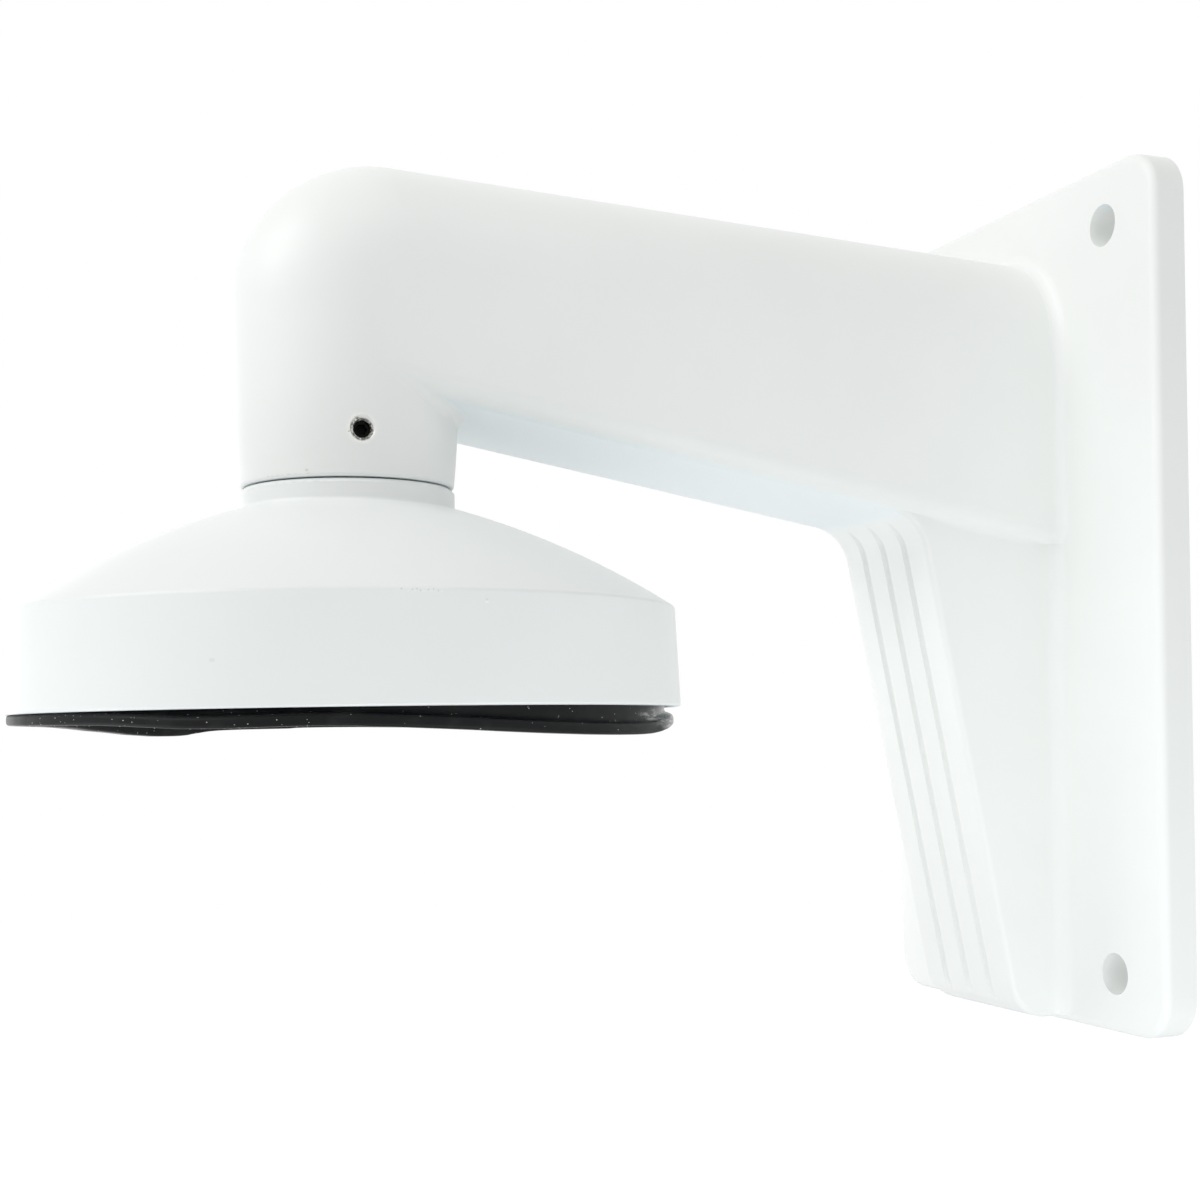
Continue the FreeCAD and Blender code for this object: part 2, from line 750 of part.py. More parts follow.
os.makedirs("parts", exist_ok=True)
for piece in pieces:
    piece.Shape.exportStep(os.path.join("parts", piece.Label + ".step"))
    box = piece.Shape.BoundBox
    print(f"{piece.Label}: {piece.Shape.Volume / 1000:.1f} cm3, "
          f"X {box.XMin:.1f} {box.XMax:.1f}, Y {box.YMin:.1f} {box.YMax:.1f}, "
          f"Z {box.ZMin:.1f} {box.ZMax:.1f}")
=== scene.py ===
# %% [markdown]
# # A wall bracket for a dome camera
# The real bracket is two white castings, a rubber gasket and one small screw. The shapes of
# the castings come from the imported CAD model, and this lesson gives them their finish. The
# gasket is made again here, because the real one is wavy, and the screw's hole gets its
# thread. All lengths in Blender are in metres, and the wall is the plane Y = 0.

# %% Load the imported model
import json
import math

import bpy
from mathutils import Matrix, Vector

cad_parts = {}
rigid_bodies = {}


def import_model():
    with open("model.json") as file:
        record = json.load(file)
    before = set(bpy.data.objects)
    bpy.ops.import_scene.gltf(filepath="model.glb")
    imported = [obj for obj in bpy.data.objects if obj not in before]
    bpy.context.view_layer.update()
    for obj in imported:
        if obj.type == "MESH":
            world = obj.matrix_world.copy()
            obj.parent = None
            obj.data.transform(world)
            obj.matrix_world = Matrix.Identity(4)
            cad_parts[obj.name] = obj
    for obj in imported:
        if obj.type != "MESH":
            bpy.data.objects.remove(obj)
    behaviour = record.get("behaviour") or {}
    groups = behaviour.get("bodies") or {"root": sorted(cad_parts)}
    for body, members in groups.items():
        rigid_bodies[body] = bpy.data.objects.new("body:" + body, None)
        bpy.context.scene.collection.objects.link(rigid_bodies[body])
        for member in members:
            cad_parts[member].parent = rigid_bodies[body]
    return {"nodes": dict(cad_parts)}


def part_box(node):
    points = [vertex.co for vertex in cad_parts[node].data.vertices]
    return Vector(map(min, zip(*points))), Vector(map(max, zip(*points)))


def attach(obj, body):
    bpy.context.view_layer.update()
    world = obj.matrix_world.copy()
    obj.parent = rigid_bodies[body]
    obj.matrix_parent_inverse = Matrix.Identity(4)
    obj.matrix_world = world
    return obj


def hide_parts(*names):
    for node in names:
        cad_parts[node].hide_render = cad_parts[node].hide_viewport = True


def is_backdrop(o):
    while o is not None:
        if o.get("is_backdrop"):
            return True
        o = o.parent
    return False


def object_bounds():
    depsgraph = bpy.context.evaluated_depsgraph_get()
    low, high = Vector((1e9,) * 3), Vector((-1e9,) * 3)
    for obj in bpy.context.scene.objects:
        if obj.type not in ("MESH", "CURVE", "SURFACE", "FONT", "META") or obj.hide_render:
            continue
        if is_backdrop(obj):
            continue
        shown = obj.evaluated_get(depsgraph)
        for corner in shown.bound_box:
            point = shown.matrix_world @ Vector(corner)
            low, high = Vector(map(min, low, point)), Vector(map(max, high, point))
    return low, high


for leftover in list(bpy.data.objects):
    bpy.data.objects.remove(leftover)
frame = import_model()
cad_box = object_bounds()
MM = 0.001
for name in sorted(frame["nodes"]):
    low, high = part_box(name)
    print(name, "is", [round(side / MM, 1) for side in high - low], "mm")

# %% [markdown]
# ## The camera
# The photo was taken from in front of the cap and to its side, a little below the middle of
# the bracket. A camera in Blender could be aimed at the bracket by eye. Here its place, its
# three angles and its lens come from lines of the photo that were matched to known edges,
# so the picture lines up with the photo. The shift moves the frame without turning the
# camera, because the bracket isn't in the middle of the lens's view.

# %% Place the camera
CAMERA_PLACE = Vector((359.10, -242.23, -26.37)) * MM
CAMERA_TURN = math.radians(68.084)
CAMERA_TILT = math.radians(-0.198)
CAMERA_ROLL = math.radians(-0.931)
SENSOR_WIDTH = 36.0
LENS = 55.348
CAMERA_SHIFT = (-0.03974, 0.10523)
NEAREST_SEEN = 0.01
UPWARD = Vector((0, 0, 1))

back = Vector((
    math.sin(CAMERA_TURN) * math.cos(CAMERA_TILT),
    -math.cos(CAMERA_TURN) * math.cos(CAMERA_TILT),
    math.sin(CAMERA_TILT),
))
level_right = UPWARD.cross(back).normalized()
level_up = back.cross(level_right)
right = level_right * math.cos(CAMERA_ROLL) + level_up * math.sin(CAMERA_ROLL)
up = level_up * math.cos(CAMERA_ROLL) - level_right * math.sin(CAMERA_ROLL)

camera = bpy.data.objects.new("camera", bpy.data.cameras.new("camera"))
bpy.context.scene.collection.objects.link(camera)
turn_camera = Matrix((right, up, back)).transposed().to_4x4()
camera.matrix_world = Matrix.Translation(CAMERA_PLACE) @ turn_camera
camera.data.sensor_width = SENSOR_WIDTH
camera.data.lens = LENS
camera.data.shift_x, camera.data.shift_y = CAMERA_SHIFT
camera.data.clip_start = NEAREST_SEEN
bpy.context.scene.camera = camera
print("camera is", round(CAMERA_PLACE.length, 3), "m from the middle of the plate's back")

# %% [markdown]
# ## Short names for nodes
# A material in Blender is a tree of nodes, and a tree is easier to read when each step is
# one line. These helpers add a node, set its values, and join it to the nodes before it.
# A value that is a number is typed into the socket, and a value that is a socket is wired.

# %% Helpers for node trees
def put(tree, kind, **settings):
    """Add a node and set its properties."""
    node = tree.nodes.new(kind)
    for name, value in settings.items():
        setattr(node, name, value)
    return node


def feed(tree, socket, value):
    """Wire a socket, or type a plain value into it."""
    if isinstance(value, bpy.types.NodeSocket):
        tree.links.new(value, socket)
    else:
        socket.default_value = value


def maths(tree, operation, *values):
    node = put(tree, "ShaderNodeMath", operation=operation)
    for socket, value in zip(node.inputs, values):
        feed(tree, socket, value)
    return node.outputs[0]


def vector_maths(tree, operation, *values):
    node = put(tree, "ShaderNodeVectorMath", operation=operation)
    for socket, value in zip(node.inputs, values):
        feed(tree, socket, value)
    return node.outputs["Value" if operation in ("LENGTH", "DOT_PRODUCT") else "Vector"]


def ramp(tree, value, start, end):
    """Turn the range from start to end into 0 to 1, with soft ends."""
    node = put(tree, "ShaderNodeMapRange", interpolation_type="SMOOTHSTEP")
    for socket, item in zip(node.inputs, (value, start, end)):
        feed(tree, socket, item)
    return node.outputs[0]


def mix_colours(tree, share, first, second):
    """Go from the first colour to the second. A Mix node hides its sockets for other kinds."""
    node = put(tree, "ShaderNodeMix", data_type="RGBA")
    for index, value in ((0, share), (6, first), (7, second)):
        feed(tree, node.inputs[index], value)
    return node.outputs[2]


def mix_values(tree, share, first, second):
    node = put(tree, "ShaderNodeMix", data_type="FLOAT")
    for index, value in ((0, share), (2, first), (3, second)):
        feed(tree, node.inputs[index], value)
    return node.outputs[0]


def noise(tree, place, per_metre, detail=2.0):
    node = put(tree, "ShaderNodeTexNoise")
    feed(tree, node.inputs["Vector"], place)
    feed(tree, node.inputs["Scale"], per_metre)
    node.inputs["Detail"].default_value = detail
    return node.outputs["Fac"]


# %% [markdown]
# ## Node groups
# Some trees are needed many times over, such as the one for a scratch. They could be copied
# into each material, but then a change would have to be made in every copy. A node group is
# a tree with its own name and inputs, and it sits in other trees as one node.

# %% Helpers for node groups
def new_group(name, inputs, outputs):
    """Start a shader node group with named sockets, and give its two ends."""
    group = bpy.data.node_groups.new(name, "ShaderNodeTree")
    for label, value in inputs.items():
        kind = "NodeSocketVector" if isinstance(value, tuple) else "NodeSocketFloat"
        socket = group.interface.new_socket(label, in_out="INPUT", socket_type=kind)
        socket.default_value = value
    for label in outputs:
        group.interface.new_socket(label, in_out="OUTPUT", socket_type="NodeSocketFloat")
    start = put(group, "NodeGroupInput").outputs
    end = put(group, "NodeGroupOutput").inputs
    return group, start, end


def use_group(tree, group, **values):
    """Place a group in a tree. A name such as Peel_Size stands for the socket Peel Size."""
    node = put(tree, "ShaderNodeGroup", node_tree=group)
    for name, value in values.items():
        feed(tree, node.inputs[name.replace("_", " ")], value)
    return node.outputs


# %% [markdown]
# ## Powder coat
# The castings are sprayed with dry paint powder that melts in an oven. It flows into gentle
# dimples a millimetre or so across, like orange peel, with a finer grain between them. They
# are far too shallow to model, so a node group gives their height and a bump reads it. The
# heights are real ones, a few thousandths of a millimetre, so they need no tuning later.

# %% Node group: powder coat
MOTTLES_PER_METRE = 45.0


def make_powder_coat():
    group, start, end = new_group(
        "powder coat",
        {"Peel Size": 1.3, "Peel Depth": 0.004, "Grain Size": 0.35, "Grain Depth": 0.001},
        ["Height", "Mottle"],
    )
    place = put(group, "ShaderNodeTexCoord").outputs["Object"]
    heights = []
    for size_name, depth_name in (("Peel Size", "Peel Depth"), ("Grain Size", "Grain Depth")):
        per_metre = maths(group, "DIVIDE", 1 / MM, start[size_name])
        wave = noise(group, place, per_metre)
        heights.append(maths(group, "MULTIPLY", wave, start[depth_name]))
    total = maths(group, "ADD", *heights)
    feed(group, end["Height"], maths(group, "MULTIPLY", total, MM))
    feed(group, end["Mottle"], noise(group, place, MOTTLES_PER_METRE, detail=4.0))
    return group


powder_coat = make_powder_coat()
print("powder coat group has", len(powder_coat.nodes), "nodes")

# %% [markdown]
# ## Small marks
# A used bracket has a few nicks, rubs and specks. Each could be painted on an image, but
# then it would need a texture file. Instead a node group measures how far a point of the
# surface is from the mark's centre, in units of the mark's size, and a little noise makes
# its edge ragged. The same group makes every mark.

# %% Node group: a small mark
RAGS_PER_METRE = 2600.0
MARK_ENDS, MARK_FULL = 1.1, 0.6


def make_small_mark():
    group, start, end = new_group(
        "small mark",
        {"Centre": (0.0, 0.0, 0.0), "Half Size": (1.0, 1.0, 1.0), "Ragged": 0.6},
        ["Mask"],
    )
    place = put(group, "ShaderNodeTexCoord").outputs["Object"]
    offset = vector_maths(group, "SUBTRACT", place, start["Centre"])
    scaled = vector_maths(group, "DIVIDE", offset, start["Half Size"])
    away = vector_maths(group, "LENGTH", scaled)
    rough = maths(group, "SUBTRACT", noise(group, place, RAGS_PER_METRE), 0.5)
    edge = maths(group, "MULTIPLY_ADD", rough, start["Ragged"], away)
    feed(group, end["Mask"], ramp(group, edge, MARK_ENDS, MARK_FULL))
    return group


small_mark = make_small_mark()
print("small mark group has", len(small_mark.nodes), "nodes")

# %% [markdown]
# ## Bores and threads
# Holes are drilled and tapped after painting, so their walls are bare metal with a thread
# cut in it. A thread could be modelled as a spiral, and one is, further on, where it shows.
# For the hidden ones a bump is enough. One group finds the points within a radius of a line
# and between two places along it, which is a bore. It also gives the height of a ridge that
# winds round that line: the height repeats along the line, and one turn moves it a pitch.

# %% Node group: threaded bore
def make_threaded_bore():
    group, start, end = new_group(
        "threaded bore",
        {"Start": (0.0, 0.0, 0.0), "Direction": (0.0, 0.0, 1.0), "Side": (1.0, 0.0, 0.0),
         "Radius": 1.0, "Length": 1.0, "Pitch": 1.0, "Depth": 0.1},
        ["Mask", "Height"],
    )
    place = put(group, "ShaderNodeTexCoord").outputs["Object"]
    offset = vector_maths(group, "SUBTRACT", place, start["Start"])
    along = vector_maths(group, "DOT_PRODUCT", offset, start["Direction"])
    forward = put(group, "ShaderNodeVectorMath", operation="SCALE")
    feed(group, forward.inputs[0], start["Direction"])
    feed(group, forward.inputs["Scale"], along)
    around = vector_maths(group, "SUBTRACT", offset, forward.outputs[0])
    near = maths(group, "LESS_THAN", vector_maths(group, "LENGTH", around), start["Radius"])
    after = maths(group, "GREATER_THAN", along, 0.0)
    before = maths(group, "LESS_THAN", along, start["Length"])
    within = maths(group, "MULTIPLY", after, before)
    feed(group, end["Mask"], maths(group, "MULTIPLY", near, within))

    other = vector_maths(group, "CROSS_PRODUCT", start["Direction"], start["Side"])
    first = vector_maths(group, "DOT_PRODUCT", around, start["Side"])
    second = vector_maths(group, "DOT_PRODUCT", around, other)
    turn = maths(group, "DIVIDE", maths(group, "ARCTAN2", second, first), 2 * math.pi)
    steps = maths(group, "SUBTRACT", maths(group, "DIVIDE", along, start["Pitch"]), turn)
    ridge = maths(group, "PINGPONG", steps, 0.5)
    feed(group, end["Height"], maths(group, "MULTIPLY", ridge, start["Depth"]))
    return group


threaded_bore = make_threaded_bore()
print("threaded bore group has", len(threaded_bore.nodes), "nodes")

# %% [markdown]
# ## Colours as the screen shows them
# The photo's colours were read from the screen, as three numbers from 0 to 255. Blender
# counts light instead: twice the number is twice the light. Each colour could be changed
# over by hand, but one small function does it for all. The first three are the bare metal,
# which below the nib and the crease pits is a painted highlight, the grime in a scratch,
# which on the nib and the crease pits is painted shade, and a painted cool tint for faces
# that look down, which stands in for cool light from below.

# %% Colours of the castings
def screen(red, green, blue):
    """A colour as a screen shows it, from 0 to 255, as the linear colour that Blender uses."""
    def straight(value):
        value /= 255
        return value / 12.92 if value <= 0.04045 else ((value + 0.055) / 1.055) ** 2.4
    return (straight(red), straight(green), straight(blue), 1.0)


BARE_ALUMINIUM_AND_PAINTED_HIGHLIGHT = screen(251, 250, 246)
GRIME_AND_PAINTED_SHADE = screen(140, 136, 128)
# painted cool tint for faces that look down, standing in for cool light from below
PAINTED_COOL_UNDERSIDE = screen(238, 244, 246)
print("the painted cool underside counts as", [round(part, 2) for part in PAINTED_COOL_UNDERSIDE[:3]])

# %% [markdown]
# ## The white paint
# Both castings have the same satin white, and the cap's coat is a little cooler. One
# function makes a paint with its own marks and bores. Each mark is a nib or a nick in the
# coat, so it changes the height of the surface as well as the tone; on the nib and the
# crease pits that darker tone is painted shade. Where a bore's mask is 1, or where the
# paint is rubbed off, bright bare aluminium shows instead, and the same bright colour just
# below the nib and the crease pits is a painted highlight. Faces that look straight down
# get a painted cool tint, which stands in for cool light from below, and there the
# casting's sandy grain shows through as a bump.

# %% Material maker: white paint
BARE_METALLIC, BARE_ROUGHNESS = 0.4, 0.3
ROUGHNESS_SPREAD = 0.06
DOWNWARD_FROM, DOWNWARD_FULL = 0.8, 0.97
SAND_PER_METRE, SAND_DEPTH = 2400.0, 0.05
THREAD_DEPTH_SHARE = 0.6


def new_material(name):
    material = bpy.data.materials.new(name)
    material.use_nodes = True
    tree = material.node_tree
    return material, tree, tree.nodes["Principled BSDF"]


def strongest(tree, masks):
    """The strongest of several masks at each point."""
    total = masks[0]
    for mask in masks[1:]:
        total = maths(tree, "MAXIMUM", total, mask)
    return total


def add_bump(tree, shader, height):
    """Let a height in metres tilt the surface, with no scaling of its own."""
    bump = put(tree, "ShaderNodeBump")
    bump.inputs["Strength"].default_value = 1.0
    bump.inputs["Distance"].default_value = 1.0
    feed(tree, bump.inputs["Height"], height)
    feed(tree, shader.inputs["Normal"], bump.outputs["Normal"])


def spots(tree, places, ragged):
    """A mask for each centre and half size, given in millimetres."""
    return [use_group(tree, small_mark, Centre=Vector(centre) * MM,
                      Half_Size=Vector(half_size) * MM, Ragged=ragged)["Mask"]
            for centre, half_size in places]


def make_white_paint(name, colour, shade, roughness, marks, bores, rubs_and_painted_highlights):
    material, tree, shader = new_material(name)
    coat = use_group(tree, powder_coat, Peel_Size=1.4, Peel_Depth=0.0035, Grain_Size=0.3,
                     Grain_Depth=0.0012)
    normal = put(tree, "ShaderNodeNewGeometry").outputs["Normal"]
    facing = vector_maths(tree, "DOT_PRODUCT", normal, (0.0, 0.0, -1.0))
    underside = ramp(tree, facing, DOWNWARD_FROM, DOWNWARD_FULL)
    mottled_coat = mix_colours(tree, coat["Mottle"], colour, shade)
    # faces that look down get the painted cool tint, which stands in for cool light from below
    tone = mix_colours(tree, underside, mottled_coat, PAINTED_COOL_UNDERSIDE)
    place = put(tree, "ShaderNodeTexCoord").outputs["Object"]
    sand = maths(tree, "MULTIPLY", noise(tree, place, SAND_PER_METRE), SAND_DEPTH * MM)
    height = maths(tree, "MULTIPLY_ADD", underside, sand, coat["Height"])
    # marks are painted darker: real stains on most, painted shade on the nib and the crease pits
    stains_and_painted_shade = []
    mark_masks = spots(tree, [mark[:2] for mark in marks], ragged=0.7)
    for mask, (_, _, darkness, rise) in zip(mark_masks, marks):
        stains_and_painted_shade.append(maths(tree, "MULTIPLY", mask, darkness))
        height = maths(tree, "MULTIPLY_ADD", mask, rise * MM, height)
    # bright bare-metal colour: bare metal at the bores and round the screw, painted highlights
    # below the nib and the crease pits
    bare_and_highlight_masks = spots(tree, rubs_and_painted_highlights, ragged=0.35)
    for begin, direction, side, radius, length, pitch in bores:
        bore = use_group(tree, threaded_bore, Start=Vector(begin) * MM, Direction=direction,
                         Side=side, Radius=radius * MM, Length=length * MM, Pitch=pitch * MM,
                         Depth=pitch * THREAD_DEPTH_SHARE * MM)
        bare_and_highlight_masks.append(bore["Mask"])
        height = mix_values(tree, bore["Mask"], height, bore["Height"])
    bare_and_highlight = strongest(tree, bare_and_highlight_masks)
    stained_and_painted_shade = mix_colours(tree, strongest(tree, stains_and_painted_shade), tone, GRIME_AND_PAINTED_SHADE)
    feed(tree, shader.inputs["Base Color"], mix_colours(tree, bare_and_highlight, stained_and_painted_shade, BARE_ALUMINIUM_AND_PAINTED_HIGHLIGHT))
    feed(tree, shader.inputs["Metallic"], maths(tree, "MULTIPLY", bare_and_highlight, BARE_METALLIC))
    coat_roughness = maths(tree, "MULTIPLY_ADD", coat["Mottle"], ROUGHNESS_SPREAD,
                           roughness - ROUGHNESS_SPREAD / 2)
    feed(tree, shader.inputs["Roughness"], mix_values(tree, bare_and_highlight, coat_roughness, BARE_ROUGHNESS))
    add_bump(tree, shader, height)
    return material


# %% [markdown]
# ## Marks of use
# The marks are where the photo shows them: a nick on the elbow, a chip beside the screw's
# hole, small scrapes along both edges of the seam, a row of rough spots on the crease
# where the cap's dome turns into its rim, and a nib and a smudge below it. They could be
# scattered at random, but then they would miss the places that the photo gives. So each line
# gives a mark's centre and half size in millimetres, how dark its stain is, and how far it
# rises. On the crease spots and the nib that darkness is painted shade, and bright spots of
# bare-metal colour just below them are painted highlights, both standing in for the light on
# their tiny relief. Drilling the screw's hole took the paint off in a ragged ring round it.

# %% List the marks
CAP_AXIS_Y = -160.7
SCREW_HEIGHT = 31.1
SCREW_TURN = math.radians(-5.0)
SCREW_DIRECTION = Vector((math.cos(SCREW_TURN), math.sin(SCREW_TURN), 0.0))
CREASE_HEIGHT = -2.1


def on_cap(radius, degrees, height):
    """A point at a radius and an angle round the cap's axis."""
    turn = math.radians(degrees)
    return (radius * math.cos(turn), CAP_AXIS_Y + radius * math.sin(turn), height)


def on_screw(radius):
    """A point on the set screw's axis at a radius from the cap's axis."""
    return Vector((0, CAP_AXIS_Y, SCREW_HEIGHT)) + SCREW_DIRECTION * radius


elbow_nick = ((21.76, -161.7, 50.3), (0.4, 0.3, 0.2), 0.0, 0.03)
screw_chip = ((21.1, -164.9, 30.5), (0.7, 0.34, 0.26), 1.0, -0.03)
seam_chip = ((17.4, -172.3, 23.5), (0.5, 0.4, 0.3), 0.25, -0.03)
screw_swelling = ((21.38, -162.57, 31.1), (3.0, 3.2, 3.2), 0.0, 0.05)
seam_scrapes = [(on_cap(20.85, degrees, 22.9), (size, size, 0.2), 0.1, -0.03)
                for degrees, size in ((-58, 0.5), (-55, 0.3), (-51, 0.4), (-48, 0.25),
                                      (-44, 0.45), (-40, 0.3), (-33, 0.25))]
bracket_marks = [elbow_nick, screw_chip, seam_chip, screw_swelling, *seam_scrapes]
screw_ring = (on_screw(21.5), (3.0, 3.0, 3.0))

smudge = (on_cap(64.6, -32.9, -13.4), (0.6, 0.7, 0.4), 0.1, 0.0)
# the nib and the crease pits are painted darker beside their bump; that darkness is painted shade
# on their tiny relief
nib = (on_cap(64.2, 7.9, -3.7), (0.35, 0.3, 0.16), 0.15, 0.03)
crease_pits = [(on_cap(64.1, degrees, CREASE_HEIGHT - lower), (0.3, size, 0.14), 0.3, -0.02)
               for degrees, size, lower in ((-5.2, 0.18, 0.0), (-3.6, 0.14, 0.1),
                                            (-2.9, 0.2, 0.0), (-2.4, 0.13, 0.25),
                                            (-1.2, 0.2, 0.1), (-0.4, 0.12, 0.0),
                                            (0.3, 0.14, 0.3))]
shoulder_scrapes = [(on_cap(20.8, degrees, 21.5), (size, size, 0.25), 0.08, rise)
                    for degrees, size, rise in ((-52, 0.7, 0.03), (-47, 0.5, -0.03),
                                                (-41, 0.8, 0.03), (-35, 0.6, -0.03),
                                                (-29, 0.9, 0.03), (-24, 0.5, -0.03))]
cap_marks = [smudge, nib, *crease_pits, *shoulder_scrapes]
# painted highlights: bright bare-metal spots just below the nib and the crease pits, standing in
# for light on their relief
nib_painted_highlight = (on_cap(64.4, 7.9, -4.1), (0.5, 0.42, 0.16))
crease_painted_highlights = [(on_cap(64.3, degrees, CREASE_HEIGHT - lower), (0.4, size, 0.12))
               for degrees, size, lower in ((-4.2, 0.16, 0.3), (-3.2, 0.12, 0.45),
                                            (-1.9, 0.26, 0.4), (-0.9, 0.14, 0.3),
                                            (0.8, 0.2, 0.35))]
print(len(bracket_marks), "marks on the bracket and", len(cap_marks), "on the cap")

# %% [markdown]
# ## Paint the two castings
# Each tapped hole, and the outer thread of the cap's spigot, is one line: where it starts,
# its direction, a side to count its turns from, its radius, its length and its pitch, in
# millimetres. The radius is a little wider than the thread, so that the thread lies inside.
# The paint could cover the threads too, but on the real bracket they are cut after it.

# %% Give the castings their paint
SEAM_HEIGHT = 22.4
SIDEWAYS = Vector((1, 0, 0))
collar_bore = ((0, CAP_AXIS_Y, SEAM_HEIGHT - 0.1), UPWARD, SIDEWAYS, 17.6, 18.2, 1.5)
screw_bore = (on_screw(16.0), SCREW_DIRECTION, UPWARD, 2.06, 8.0, 0.7)
spigot = ((0, CAP_AXIS_Y, SEAM_HEIGHT - 0.2), UPWARD, SIDEWAYS, 17.6, 20.0, 1.5)
camera_holes = [(on_cap(50.0, degrees, -17.2), UPWARD, SIDEWAYS, 1.7, 12.0, 0.7)
                for degrees in (90, 210, 330)]

bracket_paint = make_white_paint("satin white paint", screen(243, 245, 243), screen(239, 241, 239),
                                 0.45, bracket_marks, [collar_bore, screw_bore], [screw_ring])
cap_paint = make_white_paint("cool white paint", screen(239, 242, 241), screen(235, 238, 237),
                             0.4, cap_marks, [spigot, *camera_holes], [*crease_painted_highlights, nib_painted_highlight])
for node_name, paint in (("wall_bracket", bracket_paint), ("camera_cap", cap_paint)):
    for holder in frame["nodes"][node_name].material_slots:
        holder.material = paint
    print(node_name, "is painted with", paint.name, "and has", len(paint.node_tree.nodes), "nodes")

# %% [markdown]
# ## Soft corners under the arm
# A casting has no sharp inside corners, and paint gathers in them. Where the arm's underside
# meets the collar and the gusset, the photo shows no line, only a soft change of tone. A
# bevel can't follow these corners well, because curved surfaces meet there at a slant.
# Instead, think of a ball that rolls along a corner and touches both sides: the soft corner
# is the part of the ball between its two touches. First comes the place of such a ball
# below the arm, whose lower edges are rounded and whose underside slopes.

# %% Rest a ball under the arm
ARM_EDGE_ROUND = 4.5
ARM_ROOT = {"out": 0.0, "half width": 20.4, "underside": 10.8}
ARM_TIP = {"out": 154.3, "half width": 21.8, "underside": 39.4}
UNDERSIDE_SLOPE = (ARM_TIP["underside"] - ARM_ROOT["underside"]) / ARM_TIP["out"]
LEAN_ROUNDS = 8


def at_arm(y, measure):
    """A measure of the arm at a distance from the wall, in millimetres."""
    share = min(-y / ARM_TIP["out"], 1.0)
    return ARM_ROOT[measure] * (1 - share) + ARM_TIP[measure] * share


def under_arm(x, y, radius):
    """The height at which a ball touches the arm from below, and the way to its touch."""
    slope = UNDERSIDE_SLOPE if -y < ARM_TIP["out"] else 0.0
    beyond = max(abs(x) - at_arm(y, "half width") + ARM_EDGE_ROUND, 0.0)
    lean = 1.0
    for _ in range(LEAN_ROUNDS):
        push = radius / math.hypot(1.0, slope * lean)
        sideways = min(beyond / (ARM_EDGE_ROUND + push), 1.0)
        lean = math.sqrt(1.0 - sideways ** 2)
    hang = lean * (ARM_EDGE_ROUND + push * (1.0 + slope ** 2))
    z = at_arm(y, "underside") + ARM_EDGE_ROUND - hang
    return z, Vector((-math.copysign(sideways, x), slope * lean, lean)).normalized()


print("the arm's underside climbs", round(UNDERSIDE_SLOPE, 3), "mm for each mm from the wall")

# %% [markdown]
# ## Roll the ball
# Against the collar, the ball goes round in a half circle. The collar narrows a little
# toward its foot, so its radius at the ball's height is worked out a few times over until
# it settles. Against the gusset's flat sides the ball goes straight out from the wall, and
# it gets smaller toward both ends, so that the soft corner runs out there.

# %% Rest the ball beside the collar and the gusset
COLLAR_BALL = 2.4
SETTLE_ROUNDS = 12
ELBOW_RADIUS = 21.8
DRAFT_ARC = 145.0
GUSSET_BALL, SMALLEST_BALL = 3.2, 0.2
GUSSET_SIDE = 18.2
GUSSET_START, GUSSET_END = 10.5, 45.0
RUN_IN, RUN_OUT = 5.0, 14.0


def rest_at_collar(degrees):
    turn = math.radians(degrees)
    z = ARM_TIP["underside"] - COLLAR_BALL
    for _ in range(SETTLE_ROUNDS):
        below = ARM_TIP["underside"] - z
        collar = ELBOW_RADIUS - DRAFT_ARC + math.sqrt(DRAFT_ARC ** 2 - below ** 2)
        x, y, _ = on_cap(collar + COLLAR_BALL, degrees, z)
        z, to_arm = under_arm(x, y, COLLAR_BALL)
    to_collar = Vector((-math.cos(turn), -math.sin(turn), below / DRAFT_ARC)).normalized()
    return Vector((x, y, z)), COLLAR_BALL, to_collar, to_arm


def rest_at_gusset(side, out):
    ends = min((out - GUSSET_START) / RUN_IN, (GUSSET_END - out) / RUN_OUT, 1.0)
    grown = ends * ends * (3.0 - 2.0 * ends)
    radius = SMALLEST_BALL + (GUSSET_BALL - SMALLEST_BALL) * grown
    x = side * (GUSSET_SIDE + radius)
    z, to_arm = under_arm(x, -out, radius)
    return Vector((x, -out, z)), radius, Vector((-side, 0.0, 0.0)), to_arm


print("beside the collar the ball rests", round(rest_at_collar(90)[0].z, 2), "mm up")

# %% [markdown]
# ## Strips between the touches
# At each rest, the part of the ball between its touches is an arc, and arcs that follow each
# other are joined into a strip of faces. A strip could end just at the touches, but then its
# edges might show as lines. So it dips a little into the castings at both edges.

# %% Make the soft corners
COLLAR_FROM, COLLAR_TO, COLLAR_STEPS = 4, 176, 120
GUSSET_STEPS = 60
CORNER_ARC = 12
OVERSHOOT = 0.03
CORNER_DIP = 0.02


def sweep_ball(rests, corners, faces):
    """Add the strip between a ball's two touches as it moves from rest to rest."""
    first, count = len(corners), CORNER_ARC + 1
    for step, (centre, radius, start, end) in enumerate(rests):
        for index in range(count):
            share = (1 + 2 * OVERSHOOT) * index / CORNER_ARC - OVERSHOOT
            outward = start.slerp(end, share)
            corners.append((centre + outward * (radius + CORNER_DIP)) * MM)
        if step:
            here = first + step * count
            before = here - count
            faces += [(here + index, here + index + 1, before + index + 1, before + index)
                      for index in range(CORNER_ARC)]


def even_steps(first, last, steps):
    return [first + (last - first) * step / steps for step in range(steps + 1)]


